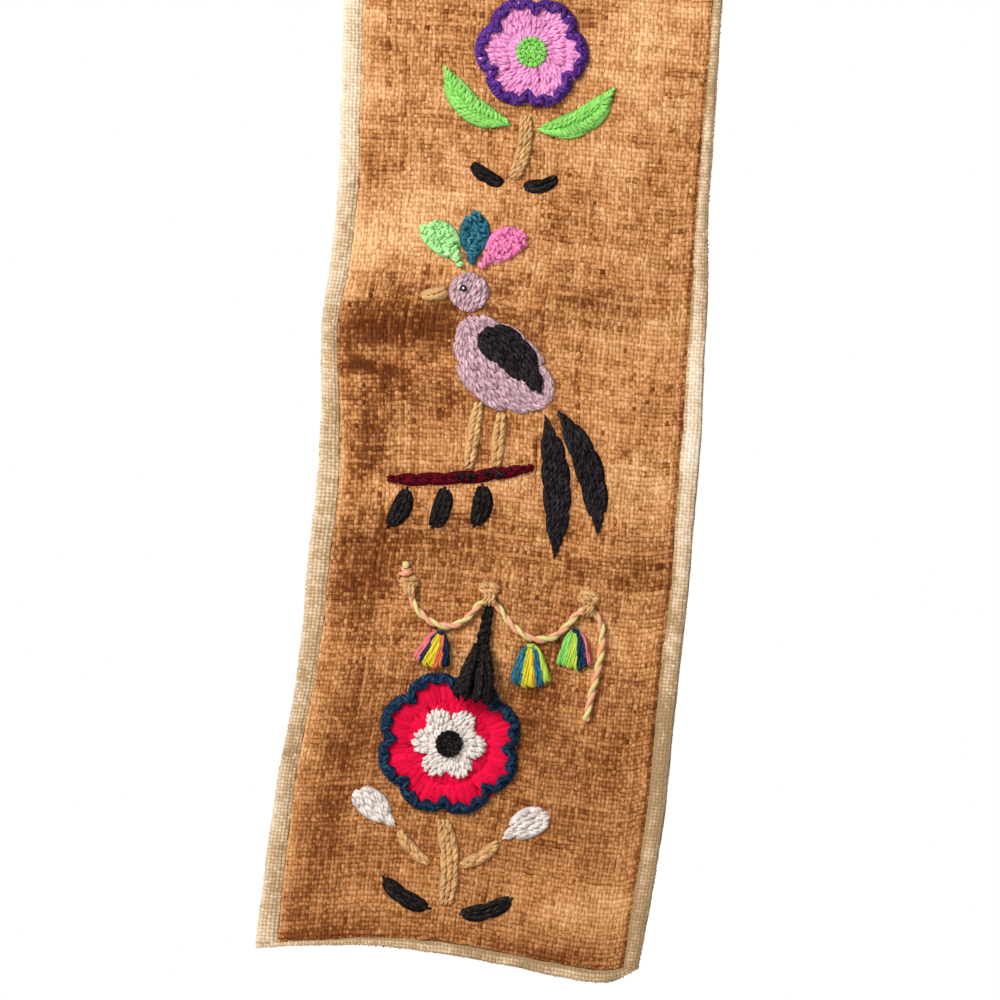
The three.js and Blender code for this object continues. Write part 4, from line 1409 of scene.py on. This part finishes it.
def weave_border(side):
    """Cream threads on one side's rolled border: short ones that wrap it, long ones along it, and one
    along its rim."""
    pitch = settings("cloth").border_pitch / MM
    upright = side in ("left", "right")
    long_threads = 5 if upright else 3
    share = (np.arange(long_threads) + 0.4) / (long_threads + 0.25)
    share = np.concatenate([[-0.12], share, [0.88, 0.93, 0.955, 0.88]])
    at, seam, outer = border_places(side, pitch)
    across = seam[:, None] + share[None] * (outer - seam)[:, None]
    at = np.broadcast_to(at[:, None], across.shape)
    x, z = (across, at) if upright else (at, across)
    x = x + 0.5 * drift(x, z, 7, 61)
    z = z + 0.5 * drift(x, z, 7, 62)
    k, m = np.meshgrid(np.arange(len(x)), np.arange(len(share)), indexing="ij")
    rng = np.random.default_rng(SEED + len(side))
    x, z = x + rng.normal(0, 0.1, x.shape), z + rng.normal(0, 0.1, x.shape)
    lift = border_front(x, z)
    lift[:, -2:] = (-1.0, -1.7)
    # painted shade: the cream is darker beside the seam, where it dips under the panel's edge, least on the
    # left
    amount, reach = {"right": (0.3, 0.2), "left": (0.06, 0.2)}.get(side, (0.36, 0.45))
    shading = amount * smooth(1 - share / reach) * (0.5 + noise(x, z, 8, 73))
    tone = cream_tone(x, z) + rng.normal(0, 0.07, x.shape) - shading
    crimp = 0.05 * np.where((k + m) % 2, 1.0, -1.0)
    strands = Strands()

    def half(index, run, seed):
        return pitch * 0.5 * (1.04 + 0.22 * noise(index * 7.0, run, 6, seed))

    points, out = lay(x, z, lift + 0.14 + crimp)
    wide = half(k, x if upright else z, 81)
    strands.add(rng, points, out, wide, 3, tone, 0.6, beat=BEAT, lean=0.5)
    inner = (slice(None), slice(1, 1 + long_threads))
    points, out = lay(x[inner], z[inner], lift[inner] + 0.14 - crimp[inner])
    arrays = points, out, half(m[inner], z[inner], 82), tone[inner]
    points, out, wide, tone = (np.swapaxes(a, 0, 1) for a in arrays)
    strands.add(rng, points, out, wide, 3, tone, 0.6, beat=BEAT, lean=0.5)
    lay_rim(strands, side, round((470 if upright else 160) / pitch * 1.6), rng)
    material = bpy.data.materials.get("cream_thread") or cream_thread_material()
    return strands.piece("border_" + side, [material], "cream_cloth")


# ---------------------------------------------------------------- garland
def smooth_path(points, spacing):
    """A centripetal curve through points, resampled evenly."""
    points = np.asarray(points, float)
    ghost = [2 * points[0] - points[1], *points, 2 * points[-1] - points[-2]]
    fine = []
    for a, b, c, d in zip(ghost, ghost[1:], ghost[2:], ghost[3:]):
        steps = [np.linalg.norm(q - p) ** 0.5 for p, q in ((a, b), (b, c), (c, d))]
        t0, t1, t2, t3 = np.concatenate([[0], np.cumsum(steps)])
        t = np.linspace(t1, t2, 24, endpoint=False)[:, None]
        a1 = (t1 - t) / (t1 - t0) * a + (t - t0) / (t1 - t0) * b
        a2 = (t2 - t) / (t2 - t1) * b + (t - t1) / (t2 - t1) * c
        a3 = (t3 - t) / (t3 - t2) * c + (t - t2) / (t3 - t2) * d
        b1 = (t2 - t) / (t2 - t0) * a1 + (t - t0) / (t2 - t0) * a2
        b2 = (t3 - t) / (t3 - t1) * a2 + (t - t1) / (t3 - t1) * a3
        fine.append((t2 - t) / (t2 - t1) * b1 + (t - t1) / (t2 - t1) * b2)
    fine = np.concatenate([*fine, points[-1:]])
    along = lengths(fine[None])[0]
    even = np.linspace(0, along[-1], round(along[-1] / spacing) + 1)
    return np.stack([np.interp(even, along, fine[:, k]) for k in range(3)], -1)


def cord_route():
    """The cord's middle line."""
    places = [(p.x, float(cloth(p.x, p.z)) - p.lift, p.z) for p in CORD_ROUTE]
    return places, smooth_path(places, 0.7)


def twist_cord():
    """The garland's cord: a salmon strand and a pistachio strand wound round each other."""
    trim = settings("trim")
    places, path = cord_route()
    along = lengths(path[None])
    width = trim.cord / MM * (0.96 + 0.16 * noise(along[0], 0.0, 4, 92))
    width[:3] *= (0.5, 0.8, 0.95)
    width[-3:] *= (1.06, 1.0, 0.7)
    tone = 0.5 + 0.25 * drift(along, 0.0, 5, 91)
    rng = np.random.default_rng(SEED + 3)
    strands = Strands()
    strands.twist(rng, path[None], FRONT, width[None], trim.cord_twist / MM, [0.6], 9, tone, 1.0, (0, 1))
    strands.fuzz(rng, 460, (0.5, 1.5))
    yarns = [wool("salmon"), wool("pistachio")]
    piece = strands.piece("garland_cord_wool", yarns, "twisted_cord", "garland_cord")
    [[c * MM for c in p] for p in places_along(path, 60)]


def places_along(path, count):
    """That many points of a path, evenly spread."""
    return path[np.linspace(0, len(path) - 1, count).round().astype(int)].tolist()


def turned(points, lean):
    """Local points, x across and z up, leaned from plumb about the hanging point."""
    lean = math.radians(lean)
    cos, sin = math.cos(lean), math.sin(lean)
    x, y, z = points[..., 0], points[..., 1], points[..., 2]
    return np.stack([x * cos + z * sin, y, z * cos - x * sin], -1)


def make_tassel(tassel, seed):
    """A fan of looped strands in wedges of colour, bound at its neck."""
    rng = np.random.default_rng(SEED * 40 + seed)
    colours = [name for name, count in tassel.wedges for _ in range(round(count * 1.5))]
    yarns = sorted(set(colours))
    thick = settings("trim").tassel_strand / MM
    lean = math.radians(tassel.lean)
    middle = tassel.x - math.sin(lean) * tassel.length / 2, tassel.z - math.cos(lean) * tassel.length / 2
    hang = np.array([tassel.x, float(cloth(*middle)) - TASSEL_LIFT, tassel.z])
    leg = 8  # points down to a loop's bottom, and as many up again
    t = np.concatenate([np.linspace(0, 1, leg), np.linspace(1, 0, leg)])
    hand = np.repeat([-1.0, 1.0], leg)
    half = thick / 2 * np.insert(0.62 + 0.38 * smooth(t * 2), leg, 1.0)
    strands = Strands()
    for k, colour in enumerate(colours):
        share = (k + 0.5) / len(colours) * 2 - 1
        reach = tassel.length * (0.82 + 0.15 * (1 - share**2)) + rng.normal(0, 0.55)
        neck, wide = share * 1.5, (tassel.spread / 2 - 0.1) * share
        x = neck + (wide - neck) * t**0.55 + hand * 0.3 * thick * t * (1 - 0.3 * abs(share))
        z = -0.6 - (reach - 0.6) * t
        depth = hand * 0.62 * thick * np.sin(np.pi * np.clip(t, 0, 0.82)) ** 0.5
        lowest = -reach - thick * 0.35
        x, z, depth = (np.insert(a, leg, b) for a, b in ((x, wide), (z, lowest), (depth, 0.0)))
        points = turned(np.stack([x, depth + rng.normal(0, 0.12), z], -1), tassel.lean) + hang
        phase, tone, slot = rng.uniform(0, 6.28), 0.5 + rng.normal(0, 0.08), yarns.index(colour)
        strands.twist(rng, points[None], FRONT, 2 * half[None], 16.0, [phase], 5, tone, 0.9, (slot, slot))
    turns = np.linspace(0, TURN * 2.2, 34)
    ring = np.stack([1.25 * np.cos(turns), 1.2 * np.sin(turns), -0.2 - 0.5 * turns / TURN], -1)
    ring = (turned(ring, tassel.lean) + hang)[None]
    upwards = np.array([0.0, 0.0, 1.0])
    strands.add(rng, ring, upwards, 0.42, tone=0.4, slot=yarns.index(colours[-3]))
    strands.fuzz(rng, 80, (0.7, 2.2))
    strands.piece(tassel.name + "_wool", [wool(y) for y in yarns], "tassel_wool", tassel.name)


def plait_ring(at):
    """The plait's radius, and its middle's height over the cloth, at shares of the way down it."""
    return between(PLAIT_RINGS, "at", "radius", at), between(PLAIT_RINGS, "at", "lift", at)


def make_plait():
    """The black plait: three plies crossed over each other, loose at the end."""
    rng = np.random.default_rng(SEED + 5)
    strands = Strands()
    hang = np.array([PLAIT_X, float(cloth(PLAIT_X, PLAIT_Z)), PLAIT_Z])

    def hung(x, y, at):
        return turned(np.stack([x, y, -at * PLAIT_LENGTH], -1), PLAIT_LEAN) + hang

    at = np.linspace(0, 0.56, 40)
    radius, lift = plait_ring(at)
    width = (radius * 0.55)[None]
    for k in range(3):
        turn = TURN * (at * PLAIT_LENGTH / 11 + k / 3)
        y = -lift - radius * PLAIT_FLATNESS * 0.5 * np.sin(2 * turn)
        points = hung(radius * 0.52 * np.sin(turn), y, at)
        for phase in (0.0, 2.1, 4.2):
            offset = np.array([0.5 * math.cos(phase), 0.35 * math.sin(phase), 0])
            tone = 0.5 + rng.normal(0, 0.15)
            strands.twist(rng, (points + offset)[None], FRONT, width, 7.0, [phase], 5, tone, 0.9)
    count = settings("trim").plait_strands
    at = np.linspace(0, 1, 14)[None] * rng.uniform(0.5, 0.6, (count, 1)) + rng.uniform(0.38, 0.46, (count, 1))
    at = np.minimum(at, rng.uniform(0.93, 1.02, (count, 1)))
    angle = rng.uniform(0, TURN, (count, 1))
    spot = rng.uniform(0.1, 1, (count, 1)) ** 0.4
    radius, lift = plait_ring(at)
    wave = 0.5 * np.sin(at * 22 + angle * 3)
    x = radius * spot * np.cos(angle) * 1.08 + wave * 0.5
    y = -lift + radius * PLAIT_FLATNESS * spot * np.sin(angle)
    width = 2.2 * np.array([[0.5, 0.8] + [1.0] * 11 + [0.7]])
    tone = 0.5 + rng.normal(0, 0.2, (count, 1))
    strands.twist(rng, hung(x, y, at), FRONT, width, 5.5, angle[:, 0], 4, tone, 0.9)
    strands.fuzz(rng, 220, (0.8, 2.4))
    wool_piece(strands, "black", "black_plait")


# ---------------------------------------------------------------- small stitches
def small_piece(name, yarn, stitches=None, manner=None, knot=None):
    """A small piece of one yarn: its stitches, a French knot or both."""
    strands = Strands()
    if stitches:
        stitches.sew(strands, **manner)
    if knot:
        place, size, level, seed = knot
        knot_coils(strands, [place], size, level, seed)
    strands.piece(name, [wool(yarn)], YARNS[yarn][0])


def sew_small_stitches():
    """Couching over the cord, claws on the twig, the bird's eye and the garland's first knots."""
    width = settings("yarn").thickness / MM
    couching, claws, knots = Stitches(), Stitches(), Stitches()
    for x, z, turn in ((-26.6, -320.6, 0.2), (6.2, -321.0, 0.0), (46.6, -321.6, -0.15)):
        for dx in (-1.5, 0, 1.5):
            couching.add((x + dx, z + 2.8), (x + dx + turn, z), (x + dx + 2 * turn, z - 3.2), width * 0.9)
    for x, z in ((-7.6, -271.6), (3.6, -269.6)):
        for dx, dz in ((-5.2, -1.6), (-2.2, -3.0), (2.4, -2.8), (5.0, -0.6)):
            claws.add((x, z + 0.8), (x + dx * 0.5, z + dz * 0.35), (x + dx, z + dz), width * 0.72)
    for x, z, dx, dz in ((-28.6, -313.6, 2.6, 0.5), (-28.9, -312.9, 1.5, -1.5), (-28.0, -313.1, 1.4, 1.3)):
        knots.add((x - dx, z - dz), (x, z), (x + dx, z + dz), 2.7)
    manner = {"seed": 401, "level": 0.6, "pitch": 5.0, "lift": 3.1, "ripple": 0.1, "steps": 11}
    small_piece("couching_stitches", "tan", couching, manner)
    manner = {"seed": 402, "level": 1.0, "pitch": 5.0, "lift": 0.9, "ripple": 0.1}
    small_piece("claws_and_eye", "black", claws, manner, (BIRD_EYE, 2.6, 1.7, 403))
    small_piece("eye_glint", "white", knot=(BIRD_EYE, 1.0, 3.3, 404))
    manner = {"seed": 405, "level": 0.3, "pitch": 5.0, "lift": 0.5, "ripple": 0.3}
    small_piece("first_knot", "salmon", knots, manner)
    small_piece("second_knot", "pistachio", knot=((-28.8, -310.2), 3.0, 0.3, 406))


# ---------------------------------------------------------------- stage
def make_stage():
    """The floor, the key light and the even light of the room."""
    stage, scene = settings("stage"), bpy.context.scene
    mesh = bmesh.new()
    bmesh.ops.create_grid(mesh, x_segments=2, y_segments=2, size=1.2)
    bmesh.ops.translate(mesh, verts=mesh.verts, vec=(0, 0, -0.75))
    floor = to_mesh_object(mesh, "floor", False)
    scene.collection.objects.link(floor)
    made = Graph("pale_floor")
    grain = made.noise(made.place(), 0.01, 3.0)
    tint = tuple(stage.floor)
    colour = made.mix(grain, tint, tuple(0.96 * c for c in tint))
    floor.data.materials.append(made.finish(colour, grain, 0.05, 0.8))

    key = bpy.data.lights.new("key", "AREA")
    key.shape, key.size, key.size_y, key.energy = "RECTANGLE", KEY_SIZE, KEY_SIZE, stage.key
    lamp = bpy.data.objects.new("key", key)
    lamp.location = KEY_PLACE
    lamp.rotation_euler = (Vector(KEY_AIM) - Vector(KEY_PLACE)).to_track_quat("-Z", "Y").to_euler()
    scene.collection.objects.link(lamp)

    room = Graph("room", "worlds")
    scene.world = room.owner
    rays = room.node("ShaderNodeLightPath").outputs
    kinds = ("Is Camera Ray", "Is Glossy Ray", "Is Transmission Ray")
    seen, glossy, through = (Number(room, rays[kind]) for kind in kinds)
    shades = {0: seen.at_least(glossy.at_least(through))}
    for k, strength in ((1, stage.fill), (2, 1.0)):
        values = {"Color": (1, 1, 1, 1), "Strength": strength}
        shades[k] = room.node("ShaderNodeBackground", None, values).outputs[0]
    blend = room.node("ShaderNodeMixShader", None, shades)
    room.node("ShaderNodeOutputWorld", None, {0: blend.outputs[0]})
    scene.view_settings.view_transform = "Standard"


class BannerOperator(bpy.types.Operator):
    """Makes one group of pieces."""

    bl_options = {"REGISTER", "UNDO"}

    def make(self):
        raise NotImplementedError

    def execute(self, context):
        self.make()
        return {"FINISHED"}


class BANNER_OT_camera(BannerOperator):
    """Sets the camera straight before the banner, leaning a little"""

    bl_idname = "banner.camera"
    bl_label = "Camera"

    def make(self):
        stage = settings("stage")
        data = bpy.data.cameras.new("camera")
        data.sensor_width = 36
        data.lens = stage.focal
        data.clip_end = 20
        camera = bpy.data.objects.new("camera", data)
        cos, sin = math.cos(stage.lean), math.sin(stage.lean)
        x, y, z = CAMERA_PLACE
        camera.matrix_world = Matrix((
            (cos, -sin, 0, x),
            (0, 0, -1, y),
            (sin, cos, 0, z),
            (0, 0, 0, 1),
        ))
        bpy.context.scene.collection.objects.link(camera)
        bpy.context.scene.camera = camera


class BANNER_OT_tassels(BannerOperator):
    """Makes the garland's three fan-shaped tassels"""

    bl_idname = "banner.tassels"
    bl_label = "Tassels"

    def make(self):
        for seed, tassel in enumerate(TASSELS):
            make_tassel(tassel, seed)


class BANNER_OT_cord(BannerOperator):
    """Twists the garland's cord from two strands"""

    bl_idname = "banner.cord"
    bl_label = "Garland cord"
    make = staticmethod(twist_cord)


class BANNER_OT_plait(BannerOperator):
    """Plaits the black wool that hangs from the cord"""

    bl_idname = "banner.plait"
    bl_label = "Plait"
    make = staticmethod(make_plait)


class BANNER_OT_backing(BannerOperator):
    """Makes the cream backing with its rolled border"""

    bl_idname = "banner.backing"
    bl_label = "Backing"
    make = staticmethod(make_backing)


class BANNER_OT_panel(BannerOperator):
    """Weaves the brown panel"""

    bl_idname = "banner.panel"
    bl_label = "Panel"
    make = staticmethod(weave_panel)


class BANNER_OT_fields(BannerOperator):
    """Sews the leaves, stems, buds and the bird"""

    bl_idname = "banner.fields"
    bl_label = "Leaves and bird"

    def make(self):
        for seed, blade in enumerate(BLADES):
            sew_blade(blade, seed)


class BANNER_OT_blooms(BannerOperator):
    """Sews the two round blooms with their edgings and eyes"""

    bl_idname = "banner.blooms"
    bl_label = "Blooms"

    def make(self):
        pink, crimson = BLOOMS
        sew_pink_bloom(pink, 201)
        sew_crimson_bloom(crimson, 211)
        for seed, bloom in ((221, pink), (231, crimson)):
            sew_edging(bloom, seed)
            sew_eye(bloom, seed + 5)


class BANNER_OT_small_stitches(BannerOperator):
    """Sews the couching, the claws, the eye and the first knots"""

    bl_idname = "banner.small_stitches"
    bl_label = "Small stitches"
    make = staticmethod(sew_small_stitches)


class BANNER_OT_stage(BannerOperator):
    """Sets the pale floor and the lights"""

    bl_idname = "banner.stage"
    bl_label = "Floor and lights"
    make = staticmethod(make_stage)


OPERATORS = (
    BANNER_OT_camera,
    BANNER_OT_tassels,
    BANNER_OT_cord,
    BANNER_OT_plait,
    BANNER_OT_backing,
    BANNER_OT_panel,
    BANNER_OT_fields,
    BANNER_OT_blooms,
    BANNER_OT_small_stitches,
    BANNER_OT_stage,
)


class BANNER_PT_panel(bpy.types.Panel):
    """Lists the banner's settings and its making, in order"""

    bl_idname = "BANNER_PT_panel"
    bl_label = "Banner"
    bl_space_type = "VIEW_3D"
    bl_region_type = "UI"
    bl_category = "Banner"

    def draw(self, context):
        for group in ("cloth", "yarn", "trim", "stage"):
            box = self.layout.box()
            box.label(text=group.title())
            owner = settings(group)
            for name in owner.__annotations__:
                box.prop(owner, name)
        for operator in OPERATORS:
            self.layout.operator(operator.bl_idname)


GROUPS = {"cloth": BannerCloth, "yarn": BannerYarn, "trim": BannerTrim, "stage": BannerStage}


def register():
    for kind in (*GROUPS.values(), *OPERATORS, BANNER_PT_panel):
        bpy.utils.register_class(kind)
    for name, group in GROUPS.items():
        setattr(bpy.types.Scene, "banner_" + name, PointerProperty(type=group))


def unregister():
    for name in GROUPS:
        delattr(bpy.types.Scene, "banner_" + name)
    for kind in reversed((*GROUPS.values(), *OPERATORS, BANNER_PT_panel)):
        bpy.utils.unregister_class(kind)


def main():
    register()
    for operator in OPERATORS:
        family, name = operator.bl_idname.split(".")
        getattr(getattr(bpy.ops, family), name)()


if __name__ == "__main__":
    main()
